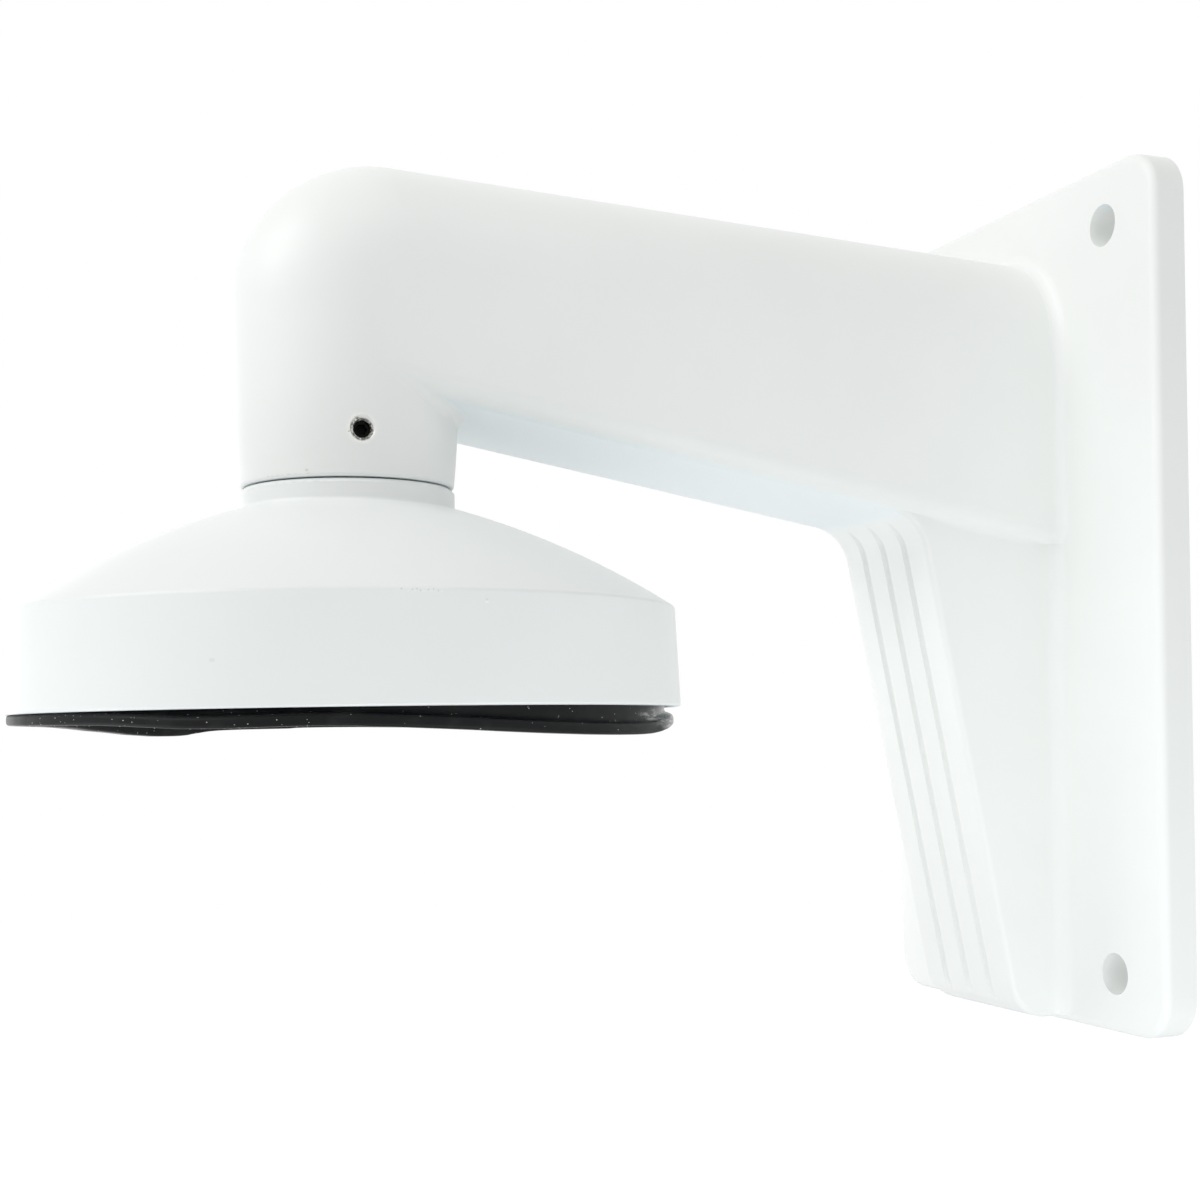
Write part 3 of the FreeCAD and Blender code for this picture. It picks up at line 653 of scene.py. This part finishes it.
corner_points, corner_faces = [], []
turns = even_steps(COLLAR_FROM, COLLAR_TO, COLLAR_STEPS)
sweep_ball([rest_at_collar(degrees) for degrees in turns], corner_points, corner_faces)
outs = even_steps(GUSSET_START, GUSSET_END, GUSSET_STEPS)
sweep_ball([rest_at_gusset(1, out) for out in reversed(outs)], corner_points, corner_faces)
sweep_ball([rest_at_gusset(-1, out) for out in outs], corner_points, corner_faces)
corner_mesh = bpy.data.meshes.new("soft_corners")
corner_mesh.from_pydata(corner_points, [], corner_faces)
corner_mesh.shade_smooth()
corner_mesh.materials.append(bracket_paint)
soft_corners = bpy.data.objects.new("soft_corners", corner_mesh)
bpy.context.scene.collection.objects.link(soft_corners)
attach(soft_corners, "root")
print("soft corners have", len(corner_mesh.polygons), "faces")

# %% [markdown]
# ## Black rubber
# The gasket is dull black rubber. Rubber is never quite black, and it reflects less than a
# hard plastic, so the shader's own specular level is lower than usual. A slow noise varies
# a film of dust, which is paler and rougher than the clean rubber. At the side toward the
# wall, pale and shiny streaks stand for longer smears and, in part, for a painted reflection
# of the light, so a second noise is squeezed upright and stretched round the ring, and a
# large small-mark mask keeps it to that side.

# %% Material: black rubber
RUBBER = screen(19, 20, 21)
DUST_FILM = screen(38, 39, 39)
SMEAR_AND_PAINTED_REFLECTION = screen(158, 157, 154)
SMEAR_AND_REFLECTION_PLACE = (on_cap(61.0, 60, -23.3), (16.0, 16.0, 2.6))
FILM_PER_METRE, STREAKS_PER_METRE, GRAINS_PER_METRE = 160.0, 900.0, 3500.0
STREAK_SHAPE = (0.25, 0.12, 1.6)
GRAIN_DEPTH = 0.004


def make_rubber():
    material, tree, shader = new_material("black rubber")
    place = put(tree, "ShaderNodeTexCoord").outputs["Object"]
    film = ramp(tree, noise(tree, place, FILM_PER_METRE, detail=5.0), 0.45, 0.8)
    squeeze = put(tree, "ShaderNodeMapping")
    feed(tree, squeeze.inputs["Vector"], place)
    squeeze.inputs["Scale"].default_value = STREAK_SHAPE
    drawn_out = noise(tree, squeeze.outputs[0], STREAKS_PER_METRE, detail=3.0)
    streaks = ramp(tree, drawn_out, 0.48, 0.66)
    side = spots(tree, [SMEAR_AND_REFLECTION_PLACE], ragged=0.5)[0]
    # pale streaks toward the wall: partly smears on the rubber, partly a painted reflection
    smear_and_reflection = maths(tree, "MULTIPLY", streaks, side)
    dusty = mix_colours(tree, film, RUBBER, DUST_FILM)
    feed(tree, shader.inputs["Base Color"], mix_colours(tree, smear_and_reflection, dusty, SMEAR_AND_PAINTED_REFLECTION))
    dull = mix_values(tree, film, 0.4, 0.6)
    feed(tree, shader.inputs["Roughness"], mix_values(tree, side, dull, 0.2))
    shader.inputs["Specular IOR Level"].default_value = 0.15
    grain = noise(tree, place, GRAINS_PER_METRE)
    add_bump(tree, shader, maths(tree, "MULTIPLY", grain, GRAIN_DEPTH * MM))
    return material


black_rubber = make_rubber()
print(black_rubber.name, "has", len(black_rubber.node_tree.nodes), "nodes")

# %% [markdown]
# ## The gasket's section
# The gasket is a moulded ring: a thin wall that grips inside the cap's rim, and below it a
# lip that flares out. Its section is drawn once, as points with a radius and a height from
# the rim's lower edge, and turned round the cap's axis. Each point also says how far it
# follows the lip, from 0 for the wall in the rim to 1 for the lip itself.

# %% Turn the section into a ring
RIM_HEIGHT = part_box("camera_cap")[0].z
LIP_FALL = 5.4 * MM
RING_STEPS = 720
LIP = [(62.05, 3.3), (62.1, 2.85), (62.35, 2.45), (62.8, 2.2), (63.25, 2.08), (63.6, 1.93),
       (63.82, 1.65), (63.9, 1.3), (63.9, 0.65), (63.82, 0.3), (63.62, 0.08), (63.3, 0.0),
       (62.3, 0.0), (61.2, 0.0), (60.8, 0.08), (60.53, 0.35), (60.45, 0.8)]
section = [(62.05, 10.2, 0.0), (62.05, 3.4, 0.0), (62.05, -0.6, 0.25)]
section += [(radius, height - LIP_FALL / MM, 1.0) for radius, height in LIP]
section += [(60.45, -0.6, 0.25), (60.45, 3.4, 0.0), (60.45, 10.2, 0.0)]


def turn_round(name, points, steps):
    """Turn a closed section round the cap's axis. The third number is kept as 'follow'."""
    count = len(points)
    corners = []
    for step in range(steps):
        angle = 2 * math.pi * step / steps
        for radius, height, _ in points:
            corners.append((radius * MM * math.cos(angle),
                            CAP_AXIS_Y * MM + radius * MM * math.sin(angle),
                            RIM_HEIGHT + height * MM))
    faces = []
    for step in range(steps):
        here, there = step * count, (step + 1) % steps * count
        for index in range(count):
            following = (index + 1) % count
            faces.append((here + index, here + following, there + following, there + index))
    mesh = bpy.data.meshes.new(name)
    mesh.from_pydata(corners, [], faces)
    follow = mesh.attributes.new("follow", "FLOAT", "POINT")
    follow.data.foreach_set("value", [point[2] for point in points] * steps)
    mesh.shade_smooth()
    return mesh


ring_mesh = turn_round("gasket_ring", section, RING_STEPS)
print("gasket ring starts with", len(ring_mesh.polygons), "faces")

# %% [markdown]
# ## Trees for geometry
# Geometry Nodes make the wave, the dust and the thread below. Such a tree could be left on
# its object as a modifier, but the export reads plain meshes. So each tree starts with named
# inputs for its sizes and ends by making its copies real and giving them a material, and
# another helper runs it once on a mesh and keeps the result.

# %% Helpers for Geometry Nodes
def new_geometry_tree(name, sizes):
    """Start a tree with a mesh and named sizes as its inputs, and give its two ends."""
    tree = bpy.data.node_groups.new(name, "GeometryNodeTree")
    face = tree.interface
    face.new_socket("Geometry", in_out="INPUT", socket_type="NodeSocketGeometry")
    for label, value in sizes.items():
        socket = face.new_socket(label, in_out="INPUT", socket_type="NodeSocketFloat")
        socket.default_value = value
    face.new_socket("Geometry", in_out="OUTPUT", socket_type="NodeSocketGeometry")
    return tree, put(tree, "NodeGroupInput").outputs, put(tree, "NodeGroupOutput").inputs


def end_geometry_tree(tree, end, geometry, material):
    """End a tree with real geometry in one material."""
    real = put(tree, "GeometryNodeRealizeInstances")
    feed(tree, real.inputs[0], geometry)
    dress = put(tree, "GeometryNodeSetMaterial")
    feed(tree, dress.inputs["Geometry"], real.outputs[0])
    dress.inputs["Material"].default_value = material
    feed(tree, end["Geometry"], dress.outputs[0])


def run_tree(name, mesh, tree):
    """Run a Geometry Nodes tree on a mesh and keep the result as a plain object."""
    carrier = bpy.data.objects.new(name, mesh)
    bpy.context.scene.collection.objects.link(carrier)
    carrier.modifiers.new("nodes", "NODES").node_group = tree
    seen = carrier.evaluated_get(bpy.context.evaluated_depsgraph_get())
    result = bpy.data.meshes.new_from_object(seen)
    carrier.modifiers.clear()
    carrier.data = result
    return carrier


def split(tree, vector):
    """The three parts of a vector, by the names X, Y and Z."""
    apart = put(tree, "ShaderNodeSeparateXYZ")
    feed(tree, apart.inputs[0], vector)
    return apart.outputs


# %% [markdown]
# ## The gasket's wave
# The loose lip hangs in waves. A wave like this could be pulled by hand in sculpt mode, but
# it follows a rule: how far the lip falls below the rim depends only on the angle round the
# ring. So Geometry Nodes reads each point's angle, looks the fall up in a curve, and moves
# the point. The lip also sits a little off centre, as its ends in the photo show. Where it
# would press into the metal rim it is stopped just below it.

# %% Geometry Nodes: gasket wave
FALLS = [(-167, 2.97), (-159, 3.7), (-153, 4.18), (-147, 3.95), (-138, 3.2), (-132, 2.75),
         (-125, 2.25), (-118, 2.0), (-105, 1.9), (-91, 1.9), (-77, 2.09), (-62, 2.25),
         (-53, 2.45), (-43, 2.95), (-34, 3.3), (-26, 3.2), (-17, 3.1), (-9, 3.36), (3, 3.95),
         (17, 4.75), (25, 5.08), (34, 5.32), (41, 5.38), (46, 5.3), (51, 5.05), (56, 4.6),
         (61, 4.1), (67, 3.6), (75, 3.1), (84, 2.7), (96, 2.6), (112, 3.1), (128, 3.6),
         (143, 3.5), (158, 2.9), (175, 2.65)]


def read_falls(tree, turn):
    """Look up the fall for an angle, as a share of the deepest fall."""
    curve = put(tree, "ShaderNodeFloatCurve")
    feed(tree, curve.inputs["Value"], maths(tree, "MULTIPLY_ADD", turn, 0.5 / math.pi, 0.5))
    line = curve.mapping.curves[0]
    deepest = LIP_FALL / MM
    seam_fall = (FALLS[0][1] + FALLS[-1][1]) / 2 / deepest
    line.points[0].location = (0.0, seam_fall)
    line.points[1].location = (1.0, seam_fall)
    for degrees, fall in FALLS:
        line.points.new(degrees / 360 + 0.5, fall / deepest)
    curve.mapping.update()
    return curve.outputs["Value"]


def make_wave_tree():
    tree, start, end = new_geometry_tree("gasket wave", {
        "Lip Fall": LIP_FALL, "Rim Height": RIM_HEIGHT, "Rim Clearance": 0.03 * MM,
        "Rim Radius": 62.15 * MM, "Shift X": -0.15 * MM, "Shift Y": -0.37 * MM})
    place = put(tree, "GeometryNodeInputPosition").outputs[0]
    apart = split(tree, vector_maths(tree, "SUBTRACT", place, (0.0, CAP_AXIS_Y * MM, 0.0)))
    fall = read_falls(tree, maths(tree, "ARCTAN2", apart["Y"], apart["X"]))
    follow = put(tree, "GeometryNodeInputNamedAttribute", data_type="FLOAT")
    follow.inputs["Name"].default_value = "follow"
    share = follow.outputs["Attribute"]
    lift = maths(tree, "MULTIPLY", maths(tree, "SUBTRACT", 1.0, fall), start["Lip Fall"])
    raised = maths(tree, "MULTIPLY_ADD", lift, share, apart["Z"])
    ceiling = maths(tree, "SUBTRACT", start["Rim Height"], start["Rim Clearance"])
    held = maths(tree, "MINIMUM", raised, ceiling)
    level = put(tree, "ShaderNodeCombineXYZ")
    for axis in "XY":
        shifted = maths(tree, "MULTIPLY_ADD", start["Shift " + axis], share, apart[axis])
        feed(tree, level.inputs[axis], shifted)
    away = vector_maths(tree, "LENGTH", level.outputs[0])
    outside = maths(tree, "GREATER_THAN", away, start["Rim Radius"])
    upright = put(tree, "ShaderNodeCombineXYZ")
    upright.inputs["Y"].default_value = CAP_AXIS_Y * MM
    feed(tree, upright.inputs["Z"], mix_values(tree, outside, raised, held))

    move = put(tree, "GeometryNodeSetPosition")
    feed(tree, move.inputs["Geometry"], start["Geometry"])
    moved = vector_maths(tree, "ADD", level.outputs[0], upright.outputs[0])
    feed(tree, move.inputs["Position"], moved)
    end_geometry_tree(tree, end, move.outputs[0], black_rubber)
    return tree


gasket = run_tree("wavy_gasket", ring_mesh, make_wave_tree())
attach(gasket, "root")
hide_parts("rim_gasket")
lowest = min(corner.co.z for corner in gasket.data.vertices)
print("gasket hangs", round((RIM_HEIGHT - lowest) / MM, 2), "mm below the rim")

# %% [markdown]
# ## Dust on the gasket
# Pale specks of dust and lint cling to the rubber. They could be dots in the material, but
# real ones stand on the surface and catch light, so Geometry Nodes scatters tiny flat
# flakes on the ring, each with its own size and turn. Most lie on the left, as in the
# photo. The seed is fixed, so they land in the same places each time.

# %% Geometry Nodes: dust flakes
DARK_DUST = screen(160, 157, 151)
PALE_DUST = screen(240, 239, 235)
FLAKE_FACES = 20


def make_dust_material():
    material, tree, shader = new_material("pale dust")
    place = put(tree, "ShaderNodeTexCoord").outputs["Object"]
    dust_tone = mix_colours(tree, noise(tree, place, 900.0), DARK_DUST, PALE_DUST)
    feed(tree, shader.inputs["Base Color"], dust_tone)
    shader.inputs["Roughness"].default_value = 0.9
    return material


def make_dust_tree(material):
    tree, start, end = new_geometry_tree("dust flakes", {
        "Per Square Metre": 200000.0, "Right Share": 0.25,
        "Left End": -185.0 * MM, "Right Start": -170.0 * MM,
        "Smallest": 0.35, "Largest": 1.0, "Flake Radius": 0.15 * MM,
        "Width Share": 0.6, "Thickness Share": 0.3})
    place = split(tree, put(tree, "GeometryNodeInputPosition").outputs[0])
    left = ramp(tree, place["Y"], start["Right Start"], start["Left End"])
    share = mix_values(tree, left, start["Right Share"], 1.0)
    density = maths(tree, "MULTIPLY", share, start["Per Square Metre"])
    scatter = put(tree, "GeometryNodeDistributePointsOnFaces", distribute_method="RANDOM")
    feed(tree, scatter.inputs["Mesh"], start["Geometry"])
    feed(tree, scatter.inputs["Density"], density)
    scatter.inputs["Seed"].default_value = 7
    flake = put(tree, "GeometryNodeMeshIcoSphere")
    feed(tree, flake.inputs["Radius"], start["Flake Radius"])
    flake.inputs["Subdivisions"].default_value = 1
    size = put(tree, "FunctionNodeRandomValue", data_type="FLOAT")
    feed(tree, size.inputs[2], start["Smallest"])
    feed(tree, size.inputs[3], start["Largest"])
    size.inputs["Seed"].default_value = 3
    length = size.outputs[1]
    shape = put(tree, "ShaderNodeCombineXYZ")
    feed(tree, shape.inputs["X"], length)
    feed(tree, shape.inputs["Y"], maths(tree, "MULTIPLY", length, start["Width Share"]))
    feed(tree, shape.inputs["Z"], maths(tree, "MULTIPLY", length, start["Thickness Share"]))
    copy = put(tree, "GeometryNodeInstanceOnPoints")
    feed(tree, copy.inputs["Points"], scatter.outputs["Points"])
    feed(tree, copy.inputs["Instance"], flake.outputs["Mesh"])
    feed(tree, copy.inputs["Rotation"], scatter.outputs["Rotation"])
    feed(tree, copy.inputs["Scale"], shape.outputs[0])
    end_geometry_tree(tree, end, copy.outputs[0], material)
    return tree


dust_tree = make_dust_tree(make_dust_material())
dust = run_tree("gasket_dust", gasket.data.copy(), dust_tree)
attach(dust, "root")
print("dust has", len(dust.data.polygons) // FLAKE_FACES, "flakes")

# %% [markdown]
# ## The screw and its thread
# The set screw sits in its hole with a dull black oxide finish, so that it looks like a
# dark disc. In front of it the first turns of the hole's thread show. Black oxide is a
# chemical finish that leaves the steel's grain, so it gets a rough, dark colour and hardly
# any reflection. The thread was cut last, so it is bright where the tap left it.

# %% Materials: black oxide and bright thread
OXIDE_DARK, OXIDE_PALE = screen(14, 13, 12), screen(28, 26, 24)
THREAD_DARK, THREAD_PALE = screen(120, 118, 114), screen(226, 225, 221)


def make_black_oxide():
    material, tree, shader = new_material("black oxide")
    place = put(tree, "ShaderNodeTexCoord").outputs["Object"]
    wave = noise(tree, place, 2500.0, detail=3.0)
    feed(tree, shader.inputs["Base Color"], mix_colours(tree, wave, OXIDE_DARK, OXIDE_PALE))
    feed(tree, shader.inputs["Roughness"], mix_values(tree, wave, 0.5, 0.75))
    shader.inputs["Specular IOR Level"].default_value = 0.12
    add_bump(tree, shader, maths(tree, "MULTIPLY", wave, 0.01 * MM))
    return material


def make_bright_thread():
    material, tree, shader = new_material("bright thread")
    place = put(tree, "ShaderNodeTexCoord").outputs["Object"]
    wave = noise(tree, place, 2200.0, detail=3.0)
    worn = ramp(tree, wave, 0.4, 0.6)
    feed(tree, shader.inputs["Base Color"], mix_colours(tree, worn, THREAD_DARK, THREAD_PALE))
    feed(tree, shader.inputs["Roughness"], mix_values(tree, wave, 0.35, 0.6))
    shader.inputs["Metallic"].default_value = 0.5
    add_bump(tree, shader, maths(tree, "MULTIPLY", wave, 0.02 * MM))
    return material


black_oxide = make_black_oxide()
bright_thread = make_bright_thread()
for holder in frame["nodes"]["set_screw"].material_slots:
    holder.material = black_oxide
print("the set screw is finished with", black_oxide.name)

# %% [markdown]
# ## The thread's ridge
# The CAD hole is smooth, at the thread's outer size. A screw thread could be cut by hand as
# many rings, but it is a spiral: one ridge that climbs by a pitch with each turn. Geometry
# Nodes draws the spiral from its radius, pitch and number of turns, and sweeps a three-sided
# section along it. The result is turned to point out of the hole and moved to its mouth.

# %% Geometry Nodes: thread ridge
THREAD_START = 20.1


def make_thread_tree(material):
    tree, start, end = new_geometry_tree("thread ridge", {
        "Bore Radius": 2.0 * MM, "Ridge": 0.42 * MM, "Pitch": 0.7 * MM, "Turns": 1.7})
    spiral = put(tree, "GeometryNodeCurveSpiral")
    spiral.inputs["Resolution"].default_value = 48
    feed(tree, spiral.inputs["Rotations"], start["Turns"])
    feed(tree, spiral.inputs["Start Radius"], start["Bore Radius"])
    feed(tree, spiral.inputs["End Radius"], start["Bore Radius"])
    feed(tree, spiral.inputs["Height"], maths(tree, "MULTIPLY", start["Turns"], start["Pitch"]))
    ridge = put(tree, "GeometryNodeCurvePrimitiveCircle")
    ridge.inputs["Resolution"].default_value = 3
    feed(tree, ridge.inputs["Radius"], start["Ridge"])
    sweep = put(tree, "GeometryNodeCurveToMesh")
    feed(tree, sweep.inputs["Curve"], spiral.outputs[0])
    feed(tree, sweep.inputs["Profile Curve"], ridge.outputs[0])
    sweep.inputs["Fill Caps"].default_value = True
    end_geometry_tree(tree, end, sweep.outputs[0], material)
    return tree


thread_tree = make_thread_tree(bright_thread)
thread = run_tree("screw_hole_thread", bpy.data.meshes.new("thread"), thread_tree)
across = UPWARD.cross(SCREW_DIRECTION)
lie_down = Matrix((across, UPWARD, SCREW_DIRECTION)).transposed().to_4x4()
thread.data.transform(Matrix.Translation(on_screw(THREAD_START) * MM) @ lie_down)
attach(thread, "root")
print("thread ridge has", len(thread.data.polygons), "faces")

# %% [markdown]
# ## Floor and background
# The bracket is photographed against plain white. A pale floor lies below it, out of the
# picture, and catches its shadow. Far out the floor fades away, so that no edge shows
# against the white background. From below, the floor is clear, so that the bracket can be
# looked at from there too. The background is white for the camera and in reflections, while
# the light that falls on the bracket has its own, plain level.

# %% Make the floor
FLOOR_PLACE = (0.0, -0.1, -0.2)
FLOOR_RADIUS, FLOOR_SIDES = 1.6, 96
FADE_FROM, FADE_TO = 0.45, 0.95
FLOOR_GREY, FLOOR_GLOW = 0.87, 0.5


def make_floor_material():
    material, tree, shader = new_material("pale floor")
    tree.nodes.remove(shader)
    output = tree.nodes["Material Output"]
    place = put(tree, "ShaderNodeTexCoord").outputs["Object"]
    away = vector_maths(tree, "LENGTH", place)
    far = ramp(tree, away, FLOOR_RADIUS * FADE_FROM, FLOOR_RADIUS * FADE_TO)
    fade = strongest(tree, [far, put(tree, "ShaderNodeNewGeometry").outputs["Backfacing"]])
    matt = put(tree, "ShaderNodeBsdfDiffuse")
    matt.inputs["Color"].default_value = (FLOOR_GREY, FLOOR_GREY, FLOOR_GREY, 1.0)
    glow = put(tree, "ShaderNodeEmission")
    ray = put(tree, "ShaderNodeLightPath").outputs
    feed(tree, glow.inputs["Strength"], maths(tree, "MULTIPLY", ray["Is Camera Ray"], FLOOR_GLOW))
    both = put(tree, "ShaderNodeAddShader")
    feed(tree, both.inputs[0], matt.outputs[0])
    feed(tree, both.inputs[1], glow.outputs[0])
    clear = put(tree, "ShaderNodeBsdfTransparent")
    mix = put(tree, "ShaderNodeMixShader")
    feed(tree, mix.inputs[0], fade)
    feed(tree, mix.inputs[1], both.outputs[0])
    feed(tree, mix.inputs[2], clear.outputs[0])
    feed(tree, output.inputs["Surface"], mix.outputs[0])
    return material


floor_mesh = bpy.data.meshes.new("floor")
floor_turns = [2 * math.pi * step / FLOOR_SIDES for step in range(FLOOR_SIDES)]
floor_rim = [(FLOOR_RADIUS * math.cos(turn), FLOOR_RADIUS * math.sin(turn), 0.0)
             for turn in floor_turns]
floor_mesh.from_pydata(floor_rim, [], [tuple(range(FLOOR_SIDES))])
floor = bpy.data.objects.new("floor", floor_mesh)
floor.location = FLOOR_PLACE
floor.data.materials.append(make_floor_material())
bpy.context.scene.collection.objects.link(floor)
floor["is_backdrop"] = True
print("the floor is", 2 * FLOOR_RADIUS, "m across")

# %% [markdown]
# ## Light
# The photo has the soft, even light of a white tent: hardly any shadow, the plate's face
# and the elbow's top brightest, and the side toward the wall a little darker. A white world
# gives more than half of that light. Lamps could be moved about until the tones look right.
# Here the bracket was rendered once under each of some fifty lamps, and the few whose sum
# comes nearest to the photo's tones were kept, with the strengths that the sum gave them.
# Each line gives a lamp's place, its width in metres, its watts and its colour. Those below
# are a little blue, like the photo's undersides.

# %% World and lamps
WORLD_LIGHT = 0.62
WHITE = (1.0, 1.0, 1.0)
COOL = (0.92, 0.985, 1.0)
LAMPS = [
    ("front above", (0.0, -1.029, 0.771), 0.8, 4.85, WHITE),
    ("over the arm", (0.2, -0.15, 0.4), 0.3, 0.222, WHITE),
    ("far side", (-0.35, -0.25, 0.0), 0.3, 0.186, WHITE),
    ("far side low", (-0.25, -0.12, -0.15), 0.3, 0.128, WHITE),
    ("low in front", (0.0, -0.35, -0.18), 0.2, 0.2, COOL),
    ("low beside", (0.15, -0.12, -0.18), 0.2, 0.104, COOL),
    ("low by the wall", (0.2, -0.03, -0.17), 0.2, 0.124, COOL),
]
AIM = Vector((0.0, -0.11, 0.0))

world = bpy.data.worlds.new("white tent")
bpy.context.scene.world = world
world.use_nodes = True
sky = world.node_tree
light = sky.nodes["Background"]
shown = put(sky, "ShaderNodeBackground")
for background, strength in ((light, WORLD_LIGHT), (shown, 1.0)):
    background.inputs["Color"].default_value = (*WHITE, 1.0)
    background.inputs["Strength"].default_value = strength
rays = put(sky, "ShaderNodeLightPath").outputs
seen = strongest(sky, [rays["Is Camera Ray"], rays["Is Glossy Ray"], rays["Is Transmission Ray"]])
choose = put(sky, "ShaderNodeMixShader")
feed(sky, choose.inputs[0], seen)
feed(sky, choose.inputs[1], light.outputs[0])
feed(sky, choose.inputs[2], shown.outputs[0])
feed(sky, sky.nodes["World Output"].inputs["Surface"], choose.outputs[0])

for name, place, size, power, colour in LAMPS:
    lamp = bpy.data.objects.new(name, bpy.data.lights.new(name, "AREA"))
    lamp.data.shape = "DISK"
    lamp.data.size = size
    lamp.data.energy = power
    lamp.data.color = colour
    lamp.location = place
    lamp.rotation_euler = (Vector(place) - AIM).to_track_quat("Z", "Y").to_euler()
    lamp.visible_camera = False
    bpy.context.scene.collection.objects.link(lamp)
bpy.context.scene.view_settings.view_transform = "Standard"
print("world light", WORLD_LIGHT, "with", len(LAMPS), "lamps")

# %% [markdown]
# ## The two boxes
# The box of the imported CAD model and the box of the finished scene are both printed.
# Blender must not make the bracket bigger than its CAD model.

# %% Print the two boxes
visual_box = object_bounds()
for label, (low, high) in (("CAD", cad_box), ("visual", visual_box)):
    print(label, "box", [round(side / MM, 2) for side in high - low], "mm")
